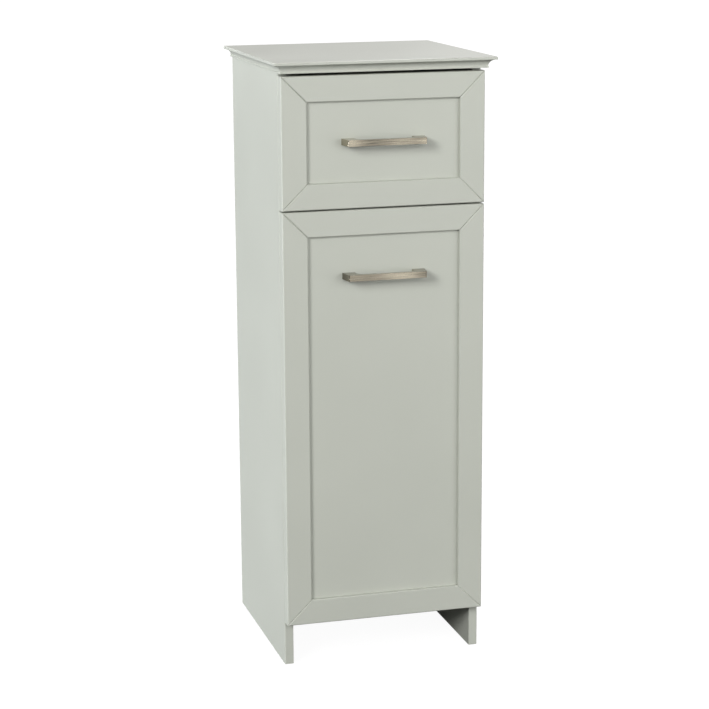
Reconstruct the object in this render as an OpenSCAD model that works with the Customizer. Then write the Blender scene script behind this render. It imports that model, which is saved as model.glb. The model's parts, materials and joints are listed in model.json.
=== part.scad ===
// Narrow bathroom cabinet with a drawer above a tilt-out laundry hamper.
// Millimetres. X is to the right, Y to the back and Z up. The origin is on the
// floor, in the middle of the width and of the depth.

/* [Overall] */
// Width over the top
top_w = 300; // [280:5:400]
// Depth over the top
top_d = 300; // [280:5:400]
// Height from the floor to the top face
total_h = 820; // [760:5:1000]

/* [Top] */
// Thickness of the top with its moulding
top_t = 15; // [14.5:0.5:20]
// Height of the lip round the top's edge
lip_h = 4; // [3:0.5:4.5]
// Radius of the cove under the lip
cove_r = 9; // [7:0.5:9.5]
// Flat ledge between the lip and the cove
cove_ledge = 1; // [0.5:0.25:1.5]
// How far the fillet under the cove stands out
fillet_out = 0.8; // [0.4:0.2:1.6]
// Overhang of the top past each side panel
overhang_side = 12; // [11:0.5:18]
// Overhang of the top past the face of the fronts
overhang_front = 16; // [12:0.5:24]

/* [Carcass] */
// Thickness of the side panels
side_t = 12; // [12:0.5:16]
// Thickness of the bottom and divider panels
shelf_t = 12; // [12:0.5:16]
// Thickness of the back panel
back_t = 3; // [2.5:0.5:5]
// How far the back panel reaches into each side panel
back_lap = 6; // [4:0.5:7]
// Clear height under the hamper front
leg_h = 61; // [50:1:100]
// Bevel on the edges that show
edge_ease = 1; // [0.4:0.1:1.2]

/* [Fronts] */
// Thickness of the drawer and hamper fronts
front_t = 16; // [14:0.5:20]
// Width of the mitred frame
frame_w = 34; // [30:1:42]
// Depth from the frame's face to the centre panel
recess = 6; // [4:0.5:8]
// How far the centre panel laps behind the frame
panel_lap = 6; // [4:0.5:9]
// Height of the drawer front
drawer_front_h = 174; // [165:1:200]
// Gap between the top and the drawer front
gap_top = 4; // [2:0.5:5]
// Gap between the drawer front and the hamper front
gap_mid = 2; // [1.5:0.5:4]
// Gap between the fronts and the side panels, held by the bumpers
gap_behind = 2; // [1.8:0.1:2.5]
// Depth of the groove where two frame members meet
mitre_groove = 1; // [0.3:0.1:1.2]

/* [Handles] */
// Distance between the screw centres
handle_centres = 96; // [80:1:128]
// Height of the bar
handle_h = 8.5; // [7.5:0.5:12]
// Reach from the centre panel to the face of the bar
handle_reach = 22; // [20:1:30]
// Thickness of the bar
bar_t = 5.5; // [4:0.5:7]
// Width of each foot at the panel
foot_w = 17; // [12:1:20]
// How far each end draws in from the panel to the face of the bar
foot_taper = 3; // [0:0.5:4]
// Radius where a foot runs into the bar
foot_blend_r = 9; // [4:0.5:12]
// Height from the top of the hamper front down to its handle
handle_drop = 88; // [86:1:140]
// Radius of the handle screws
handle_screw_r = 2; // [1.5:0.25:2.5]

/* [Drawer] */
// Thickness of the drawer's sides, back and inner front
drawer_t = 12; // [12:0.5:15]
// Height of the drawer's sides
drawer_side_h = 100; // [95:1:110]
// Thickness of the drawer's bottom
drawer_bottom_t = 3; // [2.5:0.5:5]
// Depth of the groove that holds the drawer's bottom
drawer_groove = 6; // [4:0.5:7]
// Height of the drawer's bottom over the lower edge of its sides
drawer_bottom_rise = 10; // [8:1:16]
// How far the drawer pulls out
drawer_travel = 200; // [150:5:205]

/* [Runners] */
// Space for the runners at each side of the drawer
runner_space = 12.7; // [12.7:0.1:14]
// Thickness of the runners' steel
runner_sheet = 1.2; // [1:0.1:1.3]
// Height of the runners over the divider panel
runner_rise = 10; // [8:1:14]
// Radius of the rollers
roller_r = 6.5; // [6:0.25:7.5]
// Radius of the rollers' axles
axle_r = 2; // [1.5:0.25:2.5]
// Gap between a roller's rim and the steel that it runs on
rolling_gap = 0.3; // [0.2:0.05:0.4]

/* [Hinges] */
// Radius of the hinge knuckles
knuckle_r = 2.8; // [2.4:0.1:3]
// Radius of the hinge pins
hinge_pin_r = 1.25; // [1:0.05:1.4]
// Thickness of the hinge leaves
hinge_sheet = 1.2; // [0.9:0.1:1.4]
// Width of each hinge
hinge_w = 50; // [40:1:70]
// Length of each leaf from the pin
hinge_leaf = 27; // [25:1:28]
// Distance from the side panel to the middle of the hinge
hinge_inset = 41; // [38:1:60]
// Height of the pin over the lower edge of the hamper front
hinge_rise = 0.5; // [0:0.1:1]
// How far the hamper tilts out, in degrees
tilt_angle = 35; // [20:1:38]

/* [Stays] */
// Distance from the hinge pins to the pivot and to the stud of a stay
stay_radius = 300; // [260:5:330]
// Distance from the pivot to the stud with the hamper shut
stay_rest = 45; // [35:1:60]
// Thickness of the stays and their brackets
stay_sheet = 1.5; // [1.2:0.1:1.8]
// Width of the stays
stay_w = 13; // [12:0.5:16]
// Radius of the stud that runs in the slot
stud_r = 3; // [2.5:0.25:3.5]
// Radius of the stay's pivot pin
stay_pin_r = 2.5; // [2:0.25:3]
// Distance from the hamper front to the pivot
pivot_out = 12; // [11:0.5:16]

/* [Laundry bag] */
// Radius of the rod that the bag hangs on
rod_r = 2.5; // [2:0.25:3]
// Radius of the rod's bends along its centre line
rod_bend = 18; // [12:1:24]
// Depth of the rod frame, front bar to rear bar
bag_d = 192; // [150:1:200]
// Distance from each side panel to the rod
bag_clear = 15; // [14:0.5:24]
// Height of the rod over the middle of the hamper's handle
rod_rise = 18; // [11:1:20]
// Height of the bag's base over the bottom panel
bag_lift = 16; // [12:1:40]
// Thickness of the bag's sides and base
bag_wall = 2; // [1.5:0.5:4]

/* [Fasteners] */
// Radius of the small wood screws
screw_r = 1.5; // [1.25:0.05:1.75]
// Radius of the wooden dowels
dowel_r = 3; // [2.5:0.25:3.5]
// Length of the wooden dowels
dowel_len = 24; // [20:1:28]
// Radius of the cam locks
cam_r = 6; // [5.5:0.25:7]
// Distance from a panel's end to the centre of its cam lock
cam_inset = 20; // [18:1:26]
// Radius of the cam bolts
cam_bolt_r = 2; // [1.75:0.25:2.5]

/* [Hidden] */

$fn = 48;
painted = "#BDC1B7";
raw_board = "#B39A75";
steel = "#B9BCBE";
nickel = "#A79A8B";
white_plastic = "#EDEDE8";
cloth = "#D9CFBB";

// Clearances
slip = 0.05;        // round running fits, on the radius
hole_clear = 0.1;   // screws, bolts and dowels in their holes, on the radius
tip_clear = 0.5;    // past the end of whatever sits in a blind hole
face_gap = 0.3;     // between faces that pass each other
end_play = 0.2;     // rollers and knuckles, along their pins
over = 1;           // how far a cut runs past the face that it opens
flush = 0.01;       // how far a hole starts outside the face that it opens

// Fastener sizes
pan_r = 2 * screw_r;
pan_h = 1.3;
sheet_screw_len = 10;
box_screw_len = 30;
inner_front_screw_len = 18;
back_screw_len = 14;
sink_h = 1.6;
cam_t = 9;
cam_slot = 1.5;
bolt_in = 8;
bolt_head_rim = 1;
bolt_head_r = cam_bolt_r + bolt_head_rim;
bolt_head_t = 2;
bolt_collar_t = 1.5;
dowel_in = 9;
flute_r = 0.35;
bumper_r = 4;
bumper_in = 12;
plate_screw_in = 5;     // from a small plate's end to its screw
handle_grip = 8;
handle_head_r = 1.8 * handle_screw_r;
handle_head_h = 2;

// Carcass planes
body_w = top_w - 2 * overhang_side;
face_reach = handle_reach - recess;
depth = top_d + max(0, face_reach - overhang_front);
back_y = depth / 2;
top_y = back_y - top_d;
front_y = top_y + overhang_front;
inner_y = front_y + front_t;
side_y = inner_y + gap_behind;
body_top = total_h - top_t;
in_x = body_w / 2 - side_t;
board_y = back_y - back_t;

// Fronts
drawer_z1 = body_top - gap_top;
drawer_z0 = drawer_z1 - drawer_front_h;
flap_z1 = drawer_z0 - gap_mid;
flap_z0 = leg_h;
panel_y = front_y + recess;

// Hinge line and the panels that depend on it
hinge_y = inner_y + knuckle_r + face_gap;
hinge_z = flap_z0 + hinge_rise;
bottom_z = hinge_z + knuckle_r + face_gap;
bottom_top = bottom_z + shelf_t;
divider_top = (drawer_z0 + flap_z1) / 2;
divider_z = divider_top - shelf_t;

// Handles
drawer_handle_z = (drawer_z0 + drawer_z1) / 2;
flap_handle_z = flap_z1 - handle_drop;

// Runners, measured inwards from a side panel's inner face
rail_z = divider_top + runner_rise;
web_in = runner_space - runner_sheet;
flange_gap = 1;         // from the cabinet's flange to the drawer runner's web
rail_flange = web_in - flange_gap;
roller_s0 = 4.2;
roller_in = 0.5;        // from the flange's edge back to the roller
roller_s1 = rail_flange - roller_in;
axle_head_t = 0.9;
axle_head_rim = 1.2;
axle_head_r = axle_r + axle_head_rim;
roller_z = rail_z + rolling_gap + roller_r;
upper_z = roller_z + roller_r + rolling_gap;
hold_down_lap = 0.8;    // how far the upper flange laps over the rear roller
hold_down_w = roller_s0 + hold_down_lap;
hold_down_gap = 1.2;    // between the two upper flanges
drawer_flange_s = hold_down_w + hold_down_gap;
runner_tail = 2.5;      // of steel past a roller's rim
runner_end = roller_r + runner_tail;
runner_setback = 2;
front_roller_y = side_y + runner_setback + runner_end;
rear_roller_y = front_roller_y + drawer_travel + 2 * roller_r + rolling_gap;
rail_y0 = front_roller_y - runner_end;
rail_spare = 4;         // of rail behind the drawer's runner
rail_y1 = rear_roller_y + runner_end + rail_spare;
drawer_runner_y0 = side_y;
drawer_runner_y1 = rear_roller_y + runner_end;

// Drawer box
box_x = in_x - runner_space;
box_in = box_x - drawer_t;
box_z = rail_z + runner_sheet;
box_top = box_z + drawer_side_h;
box_y1 = drawer_runner_y1;
floor_z = box_z + drawer_bottom_rise;

// Stays, measured inwards from a side panel's inner face
pivot_y = inner_y + pivot_out;
pivot_lean = asin((pivot_y - hinge_y) / stay_radius);
pivot_z = hinge_z + stay_radius * cos(pivot_lean);
stud_lean = pivot_lean + 2 * asin(stay_rest / 2 / stay_radius);
stud_y = hinge_y + stay_radius * sin(stud_lean);
stud_z = hinge_z + stay_radius * cos(stud_lean);
stay_slope = -(stud_lean + pivot_lean) / 2;
stay_reach = 2 * stay_radius * sin((stud_lean - pivot_lean + tilt_angle) / 2);
stay_s = 3;
stay_cap_s = stay_s + stay_sheet + face_gap;
slot_r = stud_r + face_gap;
cap_t = 1.5;
bracket_foot = 15;
bracket_h = 34;
ear_r = 8;

// Rod frame and bag
rod_x = in_x - bag_clear - rod_r;
tab_t = 2;
weld = 0.4;
rod_y0 = inner_y + tab_t + rod_r - weld;
rod_y1 = rod_y0 + bag_d;
rod_z = flap_handle_z + rod_rise;
tab_w = 20;
tab_h = 34;
tab_past_screw = 10.5;  // from the middle of a handle screw to the tab's edge
tab_x = handle_centres / 2 + tab_past_screw + tab_w / 2;
bag_top = rod_z - rod_r - face_gap;
bag_z0 = bottom_top + bag_lift;
bag_y0 = inner_y + tab_t + pan_h + face_gap;
bag_y1 = rod_y1 + rod_r;

// Magnetic catch
catch_w = 46;
catch_h = 12;
catch_d = 16;
catch_back = 3;
catch_screw_in = 6;
catch_wall = 3;
pole_w = 18;
pole_h = 9;
pole_t = 1.5;
strike_t = 1.4;
strike_w = 44;
strike_h = 12;
strike_gap = 0.1;
strike_z = divider_z - catch_h / 2;
catch_ear = 3;

// Turns +Z to the named direction
function aim(to) =
    to == "+x" ? [0, 90, 0] :
    to == "-x" ? [0, -90, 0] :
    to == "+y" ? [-90, 0, 0] :
    to == "-y" ? [90, 0, 0] :
    to == "-z" ? [180, 0, 0] : [0, 0, 0];

// Where each kind of fastener goes, as [point, direction]
panel_depth = board_y - side_y;
fixing_y = [side_y + 0.16 * panel_depth, side_y + 0.84 * panel_depth];
dowel_y = [side_y + 0.32 * panel_depth, side_y + 0.68 * panel_depth];
shelf_levels = [bottom_z, divider_z];
side_mid = in_x + side_t / 2;

shelf_bolts = [for (z = shelf_levels, y = fixing_y, s = [-1, 1])
    [[s * (in_x - cam_inset), y, z + shelf_t / 2], s > 0 ? "+x" : "-x"]];
top_bolts = [for (y = fixing_y, s = [-1, 1])
    [[s * side_mid, y, body_top - cam_inset], "+z"]];
shelf_cams = [for (b = shelf_bolts) [[b[0].x, b[0].y, b[0].z - shelf_t / 2], "+z"]];
top_cams = [for (b = top_bolts)
    [[b[0].x > 0 ? in_x : -in_x, b[0].y, b[0].z], b[0].x > 0 ? "+x" : "-x"]];
shelf_dowels = [for (z = shelf_levels, y = dowel_y, s = [-1, 1])
    [[s * (in_x + dowel_in), y, z + shelf_t / 2], s > 0 ? "-x" : "+x"]];
top_dowels = [for (y = dowel_y, s = [-1, 1])
    [[s * side_mid, y, body_top + dowel_in], "-z"]];

back_screw_x = in_x + back_lap / 2;
back_screw_in = 30;
back_screw_rows = 3;
back_screw_pitch = (body_top - bottom_top - 2 * back_screw_in) / back_screw_rows;
back_screw_z = [for (i = [0:back_screw_rows]) bottom_top + back_screw_in + i * back_screw_pitch];
back_screws = concat(
    [for (z = back_screw_z, s = [-1, 1]) [[s * back_screw_x, back_y, z], "-y"]],
    [for (z = shelf_levels, s = [-1, 1]) [[s * in_x / 2, back_y, z + shelf_t / 2], "-y"]]);

rail_screw_in = 12;
rail_screw_y = [front_roller_y + 3 * roller_r, (rail_y0 + rail_y1) / 2, rail_y1 - rail_screw_in];
rail_screws = [for (y = rail_screw_y, s = [-1, 1])
    [[s * (in_x - runner_sheet), y, roller_z], s > 0 ? "+x" : "-x"]];
hinge_x = in_x - hinge_inset;
leaf_screw_x = [hinge_x - hinge_w / 3, hinge_x + hinge_w / 3];
leaf_screw_reach = hinge_leaf - plate_screw_in;
base_leaf_screws = [for (x = leaf_screw_x, s = [-1, 1])
    [[s * x, hinge_y + leaf_screw_reach, bottom_z - hinge_sheet], "+z"]];
catch_screws = [for (s = [-1, 1])
    [[s * (catch_w / 2 - catch_screw_in), side_y + catch_back + catch_d / 2, divider_z - catch_ear], "+z"]];

runner_screw_front = 30;
runner_screw_rear = 25;
runner_screw_y = [drawer_runner_y0 + runner_screw_front, (drawer_runner_y0 + drawer_runner_y1) / 2,
                  drawer_runner_y1 - runner_screw_rear];
runner_screws = [for (y = runner_screw_y, s = [-1, 1])
    [[s * (box_x - drawer_t / 2), y, rail_z], "+z"]];
box_screw_z = [box_z + 0.38 * drawer_side_h, box_z + 0.82 * drawer_side_h];
box_screw_y = [inner_y + drawer_t / 2, box_y1 - drawer_t / 2];
box_screws = [for (y = box_screw_y, z = box_screw_z, s = [-1, 1])
    [[s * box_x, y, z], s > 0 ? "-x" : "+x"]];
front_screw_x = (handle_centres / 2 + box_in) / 2;
front_screws = [for (z = [box_z + 0.28 * drawer_side_h, box_z + 0.9 * drawer_side_h], s = [-1, 1])
    [[s * front_screw_x, inner_y + drawer_t, z], "-y"]];
drawer_handle_bolts = [for (s = [-1, 1])
    [[s * handle_centres / 2, inner_y + drawer_t, drawer_handle_z], "-y"]];
flap_handle_bolts = [for (s = [-1, 1])
    [[s * handle_centres / 2, inner_y, flap_handle_z], "-y"]];
bumper_z = [drawer_z0 + bumper_in, drawer_z1 - bumper_in];
drawer_pads = [for (z = bumper_z, s = [-1, 1]) [[s * side_mid, inner_y, z], "+y"]];
flap_pads = [for (s = [-1, 1]) [[s * side_mid, inner_y, flap_z1 - bumper_in], "+y"]];

flap_leaf_screws = [for (x = leaf_screw_x, s = [-1, 1])
    [[s * x, inner_y + hinge_sheet, hinge_z + leaf_screw_reach], "-y"]];
bracket_screw_dz = bracket_h / 2 - plate_screw_in;
bracket_screws = [for (dz = [-1, 1], s = [-1, 1])
    [[s * (in_x - stay_cap_s - bracket_foot / 2), inner_y + stay_sheet, pivot_z + dz * bracket_screw_dz],
     "-y"]];
tab_screws = [for (dz = [-1, 1], s = [-1, 1])
    [[s * tab_x, inner_y + tab_t, rod_z + dz * (tab_h / 2 - plate_screw_in)], "-y"]];
strike_screws = [for (s = [-1, 1])
    [[s * (strike_w / 2 - plate_screw_in), inner_y + strike_t, strike_z], "-y"]];

// Small building blocks

module block(lo, hi) {
    translate(lo) cube(hi - lo);
}

module on_left() {
    mirror([1, 0, 0]) children();
}

module both_sides() {
    children();
    on_left() children();
}

module at_each(places) {
    for (p = places) translate(p[0]) rotate(aim(p[1])) children();
}

module rod_x_way(r, x0, x1, y, z) {
    translate([x0, y, z]) rotate([0, 90, 0]) cylinder(r = r, h = x1 - x0);
}

// A bar that bevels an edge along X through the origin
module bevel_bar(length, leg) {
    rotate([45, 0, 0]) cube([length, leg * sqrt(2), leg * sqrt(2)], center = true);
}

module cross_recess(r, d) {
    for (a = [0, 90]) rotate(a) translate([-r, -r / 5, -over]) cube([2 * r, 2 * r / 5, d + over]);
}

module pan_screw(length, r, head_r, head_h) {
    difference() {
        rotate_extrude() polygon([[0, -head_h], [0.72 * head_r, -head_h], [head_r, -head_h / 2], [head_r, 0],
                                  [r, 0], [r, length], [0, length]]);
        translate([0, 0, -head_h]) cross_recess(0.5 * head_r, 0.6 * head_h);
    }
}

module sunk_screw(length) {
    difference() {
        rotate_extrude() polygon([[0, 0], [pan_r, 0], [screw_r, sink_h], [screw_r, length], [0, length]]);
        cross_recess(0.5 * pan_r, 0.5 * sink_h);
    }
}

module screw_hole(length, r = screw_r) {
    translate([0, 0, -flush]) cylinder(r = r + hole_clear, h = length + tip_clear);
}

module sunk_hole(length) {
    screw_hole(length);
    translate([0, 0, -over])
        cylinder(r1 = pan_r + hole_clear + over * (pan_r - screw_r) / sink_h,
                 r2 = screw_r + hole_clear, h = sink_h + over);
}

// Carcass

module moulding_cut(length) {
    step_h = top_t - lip_h - cove_r;
    intersection() {
        rod_x_way(cove_r, -length / 2, length / 2, cove_ledge, step_h);
        block([-length / 2, cove_ledge - over, step_h], [length / 2, cove_ledge + 2 * cove_r, top_t]);
    }
    block([-length / 2, -over, -over], [length / 2, cove_ledge, step_h + cove_r]);
    block([-length / 2, -over, -over], [length / 2, cove_ledge + cove_r - fillet_out, step_h]);
}

module top_edges(length) {
    moulding_cut(length);
    translate([0, 0, top_t]) bevel_bar(length, edge_ease);
}

module top_panel() {
    long = 2 * (top_w + top_d);
    color(painted)
    difference() {
        block([-top_w / 2, top_y, body_top], [top_w / 2, back_y, total_h]);
        translate([0, top_y, body_top]) top_edges(long);
        both_sides() translate([top_w / 2, 0, body_top]) rotate([0, 0, 90]) top_edges(long);
        carcass_holes();
    }
}

module carcass_holes() {
    at_each(concat(shelf_bolts, top_bolts)) {
        translate([0, 0, -bolt_head_r - over])
            cylinder(r = bolt_head_r + hole_clear, h = cam_inset + bolt_head_r + over);
        cylinder(r = cam_bolt_r + hole_clear, h = cam_inset + bolt_in + tip_clear);
    }
    at_each(concat(shelf_cams, top_cams)) translate([0, 0, -over])
        cylinder(r = cam_r + hole_clear, h = cam_t + tip_clear + over);
    at_each(concat(shelf_dowels, top_dowels)) translate([0, 0, -tip_clear])
        cylinder(r = dowel_r + hole_clear, h = dowel_len + 2 * tip_clear);
    at_each(back_screws) sunk_hole(back_screw_len);
    at_each(rail_screws) screw_hole(sheet_screw_len);
    at_each(base_leaf_screws) screw_hole(sheet_screw_len);
    at_each(catch_screws) screw_hole(sheet_screw_len);
}

module side_panel() {
    color(painted)
    difference() {
        block([in_x, side_y, 0], [in_x + side_t, back_y, body_top]);
        block([in_x - over, board_y, bottom_z], [in_x + back_lap, back_y + over, body_top + over]);
        translate([in_x + side_t, side_y, 0]) rotate([0, 90, 0]) bevel_bar(2 * total_h, edge_ease);
        translate([in_x + side_t, back_y, 0]) rotate([0, 90, 0]) bevel_bar(2 * total_h, edge_ease);
        carcass_holes();
        at_each([[[in_x, stud_y, stud_z], "+x"]]) screw_hole(bolt_in, cam_bolt_r);
    }
}

module right_side_panel() side_panel();
module left_side_panel() on_left() side_panel();

module shelf(z) {
    color(painted)
    difference() {
        block([-in_x, side_y, z], [in_x, board_y, z + shelf_t]);
        carcass_holes();
    }
}

module bottom_panel() shelf(bottom_z);
module divider_panel() shelf(divider_z);

module back_panel() {
    color(raw_board)
    difference() {
        block([-in_x - back_lap, board_y, bottom_z], [in_x + back_lap, back_y, body_top]);
        carcass_holes();
    }
}

module cam_locks() {
    color(steel)
    at_each(concat(shelf_cams, top_cams)) difference() {
        cylinder(r = cam_r, h = cam_t);
        cross_recess(0.6 * cam_r, cam_slot);
        for (turn = [[0, 90, 0], [90, 0, 0]]) translate([0, 0, shelf_t / 2]) rotate(turn)
            cylinder(r = bolt_head_r + face_gap, h = 4 * cam_r, center = true);
    }
}

module cam_bolts() {
    color(steel)
    at_each(concat(shelf_bolts, top_bolts)) {
        translate([0, 0, -bolt_head_r]) cylinder(r = bolt_head_r, h = bolt_head_t);
        translate([0, 0, bolt_head_t - bolt_head_r])
            cylinder(r = cam_bolt_r, h = cam_inset + bolt_in + bolt_head_r - bolt_head_t);
        translate([0, 0, cam_inset - bolt_collar_t]) cylinder(r = bolt_head_r, h = bolt_collar_t);
    }
}

module wooden_dowels() {
    color(raw_board)
    at_each(concat(shelf_dowels, top_dowels)) difference() {
        cylinder(r = dowel_r, h = dowel_len);
        for (a = [0:60:300]) rotate(a) translate([dowel_r, 0, -over])
            cylinder(r = flute_r, h = dowel_len + 2 * over, $fn = 16);
    }
}

module back_panel_screws() {
    color(steel) at_each(back_screws) sunk_screw(back_screw_len);
}

module carcass_screws() {
    color(steel) at_each(concat(rail_screws, base_leaf_screws, catch_screws))
        pan_screw(sheet_screw_len, screw_r, pan_r, pan_h);
}

module cabinet_runner() {
    color(steel)
    difference() {
        union() {
            block([in_x - runner_sheet, rail_y0, rail_z - runner_sheet],
                  [in_x, rail_y1, upper_z + runner_sheet]);
            block([in_x - rail_flange, rail_y0, rail_z - runner_sheet], [in_x, rail_y1, rail_z]);
            block([in_x - hold_down_w, rail_y0, upper_z], [in_x, rail_y1, upper_z + runner_sheet]);
            rod_x_way(axle_r, in_x - roller_s1 - end_play - axle_head_t / 2, in_x, front_roller_y, roller_z);
            rod_x_way(axle_head_r, in_x - roller_s0 + end_play, in_x, front_roller_y, roller_z);
            rod_x_way(axle_head_r, in_x - roller_s1 - end_play - axle_head_t / 2, in_x - roller_s1 - end_play,
                      front_roller_y, roller_z);
        }
        at_each(rail_screws) screw_hole(sheet_screw_len);
    }
}

module right_cabinet_runner() cabinet_runner();
module left_cabinet_runner() on_left() cabinet_runner();

module roller(y) {
    color(white_plastic)
    difference() {
        rod_x_way(roller_r, in_x - roller_s1, in_x - roller_s0, y, roller_z);
        rod_x_way(axle_r + slip, in_x - roller_s1 - over, in_x - roller_s0 + over, y, roller_z);
    }
}

module right_front_roller() roller(front_roller_y);
module left_front_roller() on_left() roller(front_roller_y);
module right_rear_roller() roller(rear_roller_y);
module left_rear_roller() on_left() roller(rear_roller_y);

// Hinges: three knuckles, the middle one on the hamper's leaf

knuckle_len = hinge_w / 3;

module knuckle(x0, x1) {
    rod_x_way(knuckle_r, x0 + end_play / 2, x1 - end_play / 2, hinge_y, hinge_z);
}

module hinge_bore() {
    rod_x_way(hinge_pin_r + slip, hinge_x - hinge_w, hinge_x + hinge_w, hinge_y, hinge_z);
}

module hinge_base_leaf() {
    x0 = hinge_x - hinge_w / 2;
    color(steel)
    difference() {
        union() {
            block([x0, hinge_y, bottom_z - hinge_sheet], [x0 + hinge_w, hinge_y + hinge_leaf, bottom_z]);
            knuckle(x0, x0 + knuckle_len);
            knuckle(x0 + 2 * knuckle_len, x0 + hinge_w);
        }
        block([x0 + knuckle_len - end_play, hinge_y - over, bottom_z - 2 * knuckle_r],
              [x0 + 2 * knuckle_len + end_play, hinge_y + knuckle_r + face_gap, bottom_z + over]);
        hinge_bore();
        at_each(base_leaf_screws) screw_hole(sheet_screw_len);
    }
}

module hinge_flap_leaf() {
    x0 = hinge_x - hinge_w / 2;
    color(steel)
    difference() {
        union() {
            block([x0, inner_y, hinge_z], [x0 + hinge_w, inner_y + hinge_sheet, hinge_z + hinge_leaf]);
            knuckle(x0 + knuckle_len, x0 + 2 * knuckle_len);
        }
        for (x = [x0 - over, x0 + 2 * knuckle_len - end_play])
            block([x, inner_y - over, hinge_z - over],
                  [x + knuckle_len + end_play + over, inner_y + 2 * knuckle_r, bottom_z + end_play]);
        hinge_bore();
        at_each(flap_leaf_screws) screw_hole(sheet_screw_len);
    }
}

module right_hinge_base_leaf() hinge_base_leaf();
module left_hinge_base_leaf() on_left() hinge_base_leaf();
module right_hinge_flap_leaf() hinge_flap_leaf();
module left_hinge_flap_leaf() on_left() hinge_flap_leaf();

module hinge_pins() {
    color(steel)
    both_sides() rod_x_way(hinge_pin_r, hinge_x - hinge_w / 2, hinge_x + hinge_w / 2, hinge_y, hinge_z);
}

module stay_studs() {
    color(steel)
    both_sides() {
        rod_x_way(cam_bolt_r, in_x - over, in_x + bolt_in, stud_y, stud_z);
        rod_x_way(2 * stud_r, in_x - stay_s + face_gap, in_x, stud_y, stud_z);
        rod_x_way(stud_r, in_x - stay_cap_s, in_x, stud_y, stud_z);
        rod_x_way(2 * stud_r, in_x - stay_cap_s - cap_t, in_x - stay_cap_s, stud_y, stud_z);
    }
}

module magnetic_catch() {
    y0 = side_y + catch_back;
    color(white_plastic)
    difference() {
        union() {
            block([-catch_w / 2, y0, divider_z - catch_ear], [catch_w / 2, y0 + catch_d, divider_z]);
            block([-pole_w / 2 - catch_wall, y0, divider_z - catch_h],
                  [pole_w / 2 + catch_wall, y0 + catch_d, divider_z]);
            for (z = [strike_z - pole_h / 2, strike_z + pole_h / 2 - pole_t])
                block([-pole_w / 2, inner_y + strike_t + strike_gap, z], [pole_w / 2, y0 + over, z + pole_t]);
        }
        at_each(catch_screws) screw_hole(sheet_screw_len);
    }
}

// Mitred frame member: its outer edge lies along X and it is frame_w deep in +Z
module frame_member(length) {
    half = length / 2;
    difference() {
        rotate([90, 0, 0]) translate([0, 0, -front_t]) linear_extrude(front_t)
            polygon([[-half, 0], [half, 0], [half - frame_w, frame_w], [frame_w - half, frame_w]]);
        block([-length, recess, frame_w - panel_lap], [length, front_t + over, frame_w + over]);
        bevel_bar(2 * length, edge_ease);
        translate([0, 0, frame_w]) bevel_bar(2 * length, edge_ease);
        for (s = [-1, 1]) translate([s * half, 0, 0]) rotate([0, s * 45, 0])
            bevel_bar(4 * frame_w, mitre_groove);
    }
}

module frame_rail(z, turn) {
    color(painted) translate([0, front_y, z]) rotate([0, turn, 0]) frame_member(body_w);
}

module frame_stile(z0, z1, side) {
    color(painted) translate([side * body_w / 2, front_y, (z0 + z1) / 2]) rotate([0, -side * 90, 0])
        frame_member(z1 - z0);
}

module centre_panel(z0, z1, bolts) {
    edge = frame_w - panel_lap;
    color(painted)
    difference() {
        block([edge - body_w / 2, panel_y, z0 + edge], [body_w / 2 - edge, inner_y, z1 - edge]);
        at_each(bolts) screw_hole(front_t + drawer_t, handle_screw_r);
        at_each(front_screws) screw_hole(inner_front_screw_len);
        at_each(tab_screws) screw_hole(sheet_screw_len);
    }
}

module drawer_front_top_rail() frame_rail(drawer_z1, 180);

module drawer_front_bottom_rail() frame_rail(drawer_z0, 0);

module drawer_front_left_stile() frame_stile(drawer_z0, drawer_z1, -1);
module drawer_front_right_stile() frame_stile(drawer_z0, drawer_z1, 1);

module drawer_front_panel() centre_panel(drawer_z0, drawer_z1, drawer_handle_bolts);

// Handle: a flat bar on two feet, drawn from above and as thick as the bar is high
module handle_outline() {
    foot_out = handle_centres / 2 + foot_w / 2;
    foot_in = handle_centres / 2 - foot_w / 2;
    nose = 1.2;
    sole = 0.1;
    difference() {
        hull() {
            translate([-foot_out, handle_reach - sole]) square([2 * foot_out, sole]);
            for (s = [-1, 1]) translate([s * (foot_out - foot_taper - nose), nose]) circle(r = nose);
        }
        hull() {
            for (s = [-1, 1]) translate([s * (foot_in - foot_blend_r), bar_t + foot_blend_r])
                circle(r = foot_blend_r);
            translate([-foot_in, handle_reach + over]) square([2 * foot_in, over]);
        }
    }
}

module handle(z) {
    color(nickel)
    difference() {
        translate([0, panel_y - handle_reach, z - handle_h / 2]) linear_extrude(handle_h) handle_outline();
        for (s = [-1, 1]) translate([s * handle_centres / 2, panel_y, z]) rotate(aim("-y"))
            screw_hole(handle_grip, handle_screw_r);
    }
}

module drawer_handle() handle(drawer_handle_z);
module hamper_handle() handle(flap_handle_z);

module drawer_handle_screws() {
    color(steel) at_each(drawer_handle_bolts)
        pan_screw(drawer_t + front_t - recess + handle_grip, handle_screw_r, handle_head_r, handle_head_h);
}

module hamper_handle_screws() {
    color(steel) at_each(flap_handle_bolts)
        pan_screw(front_t - recess + handle_grip, handle_screw_r, handle_head_r, handle_head_h);
}

// Drawer box

module bottom_groove() {
    block([-box_in - drawer_groove, inner_y + drawer_t - drawer_groove, floor_z],
          [box_in + drawer_groove, box_y1 + over, floor_z + drawer_bottom_t]);
}

module drawer_side() {
    color(raw_board)
    difference() {
        block([box_in, inner_y, box_z], [box_x, box_y1, box_top]);
        bottom_groove();
        at_each(box_screws) sunk_hole(box_screw_len);
        at_each(runner_screws) screw_hole(sheet_screw_len);
    }
}

module drawer_right_side() drawer_side();
module drawer_left_side() on_left() drawer_side();

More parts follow.
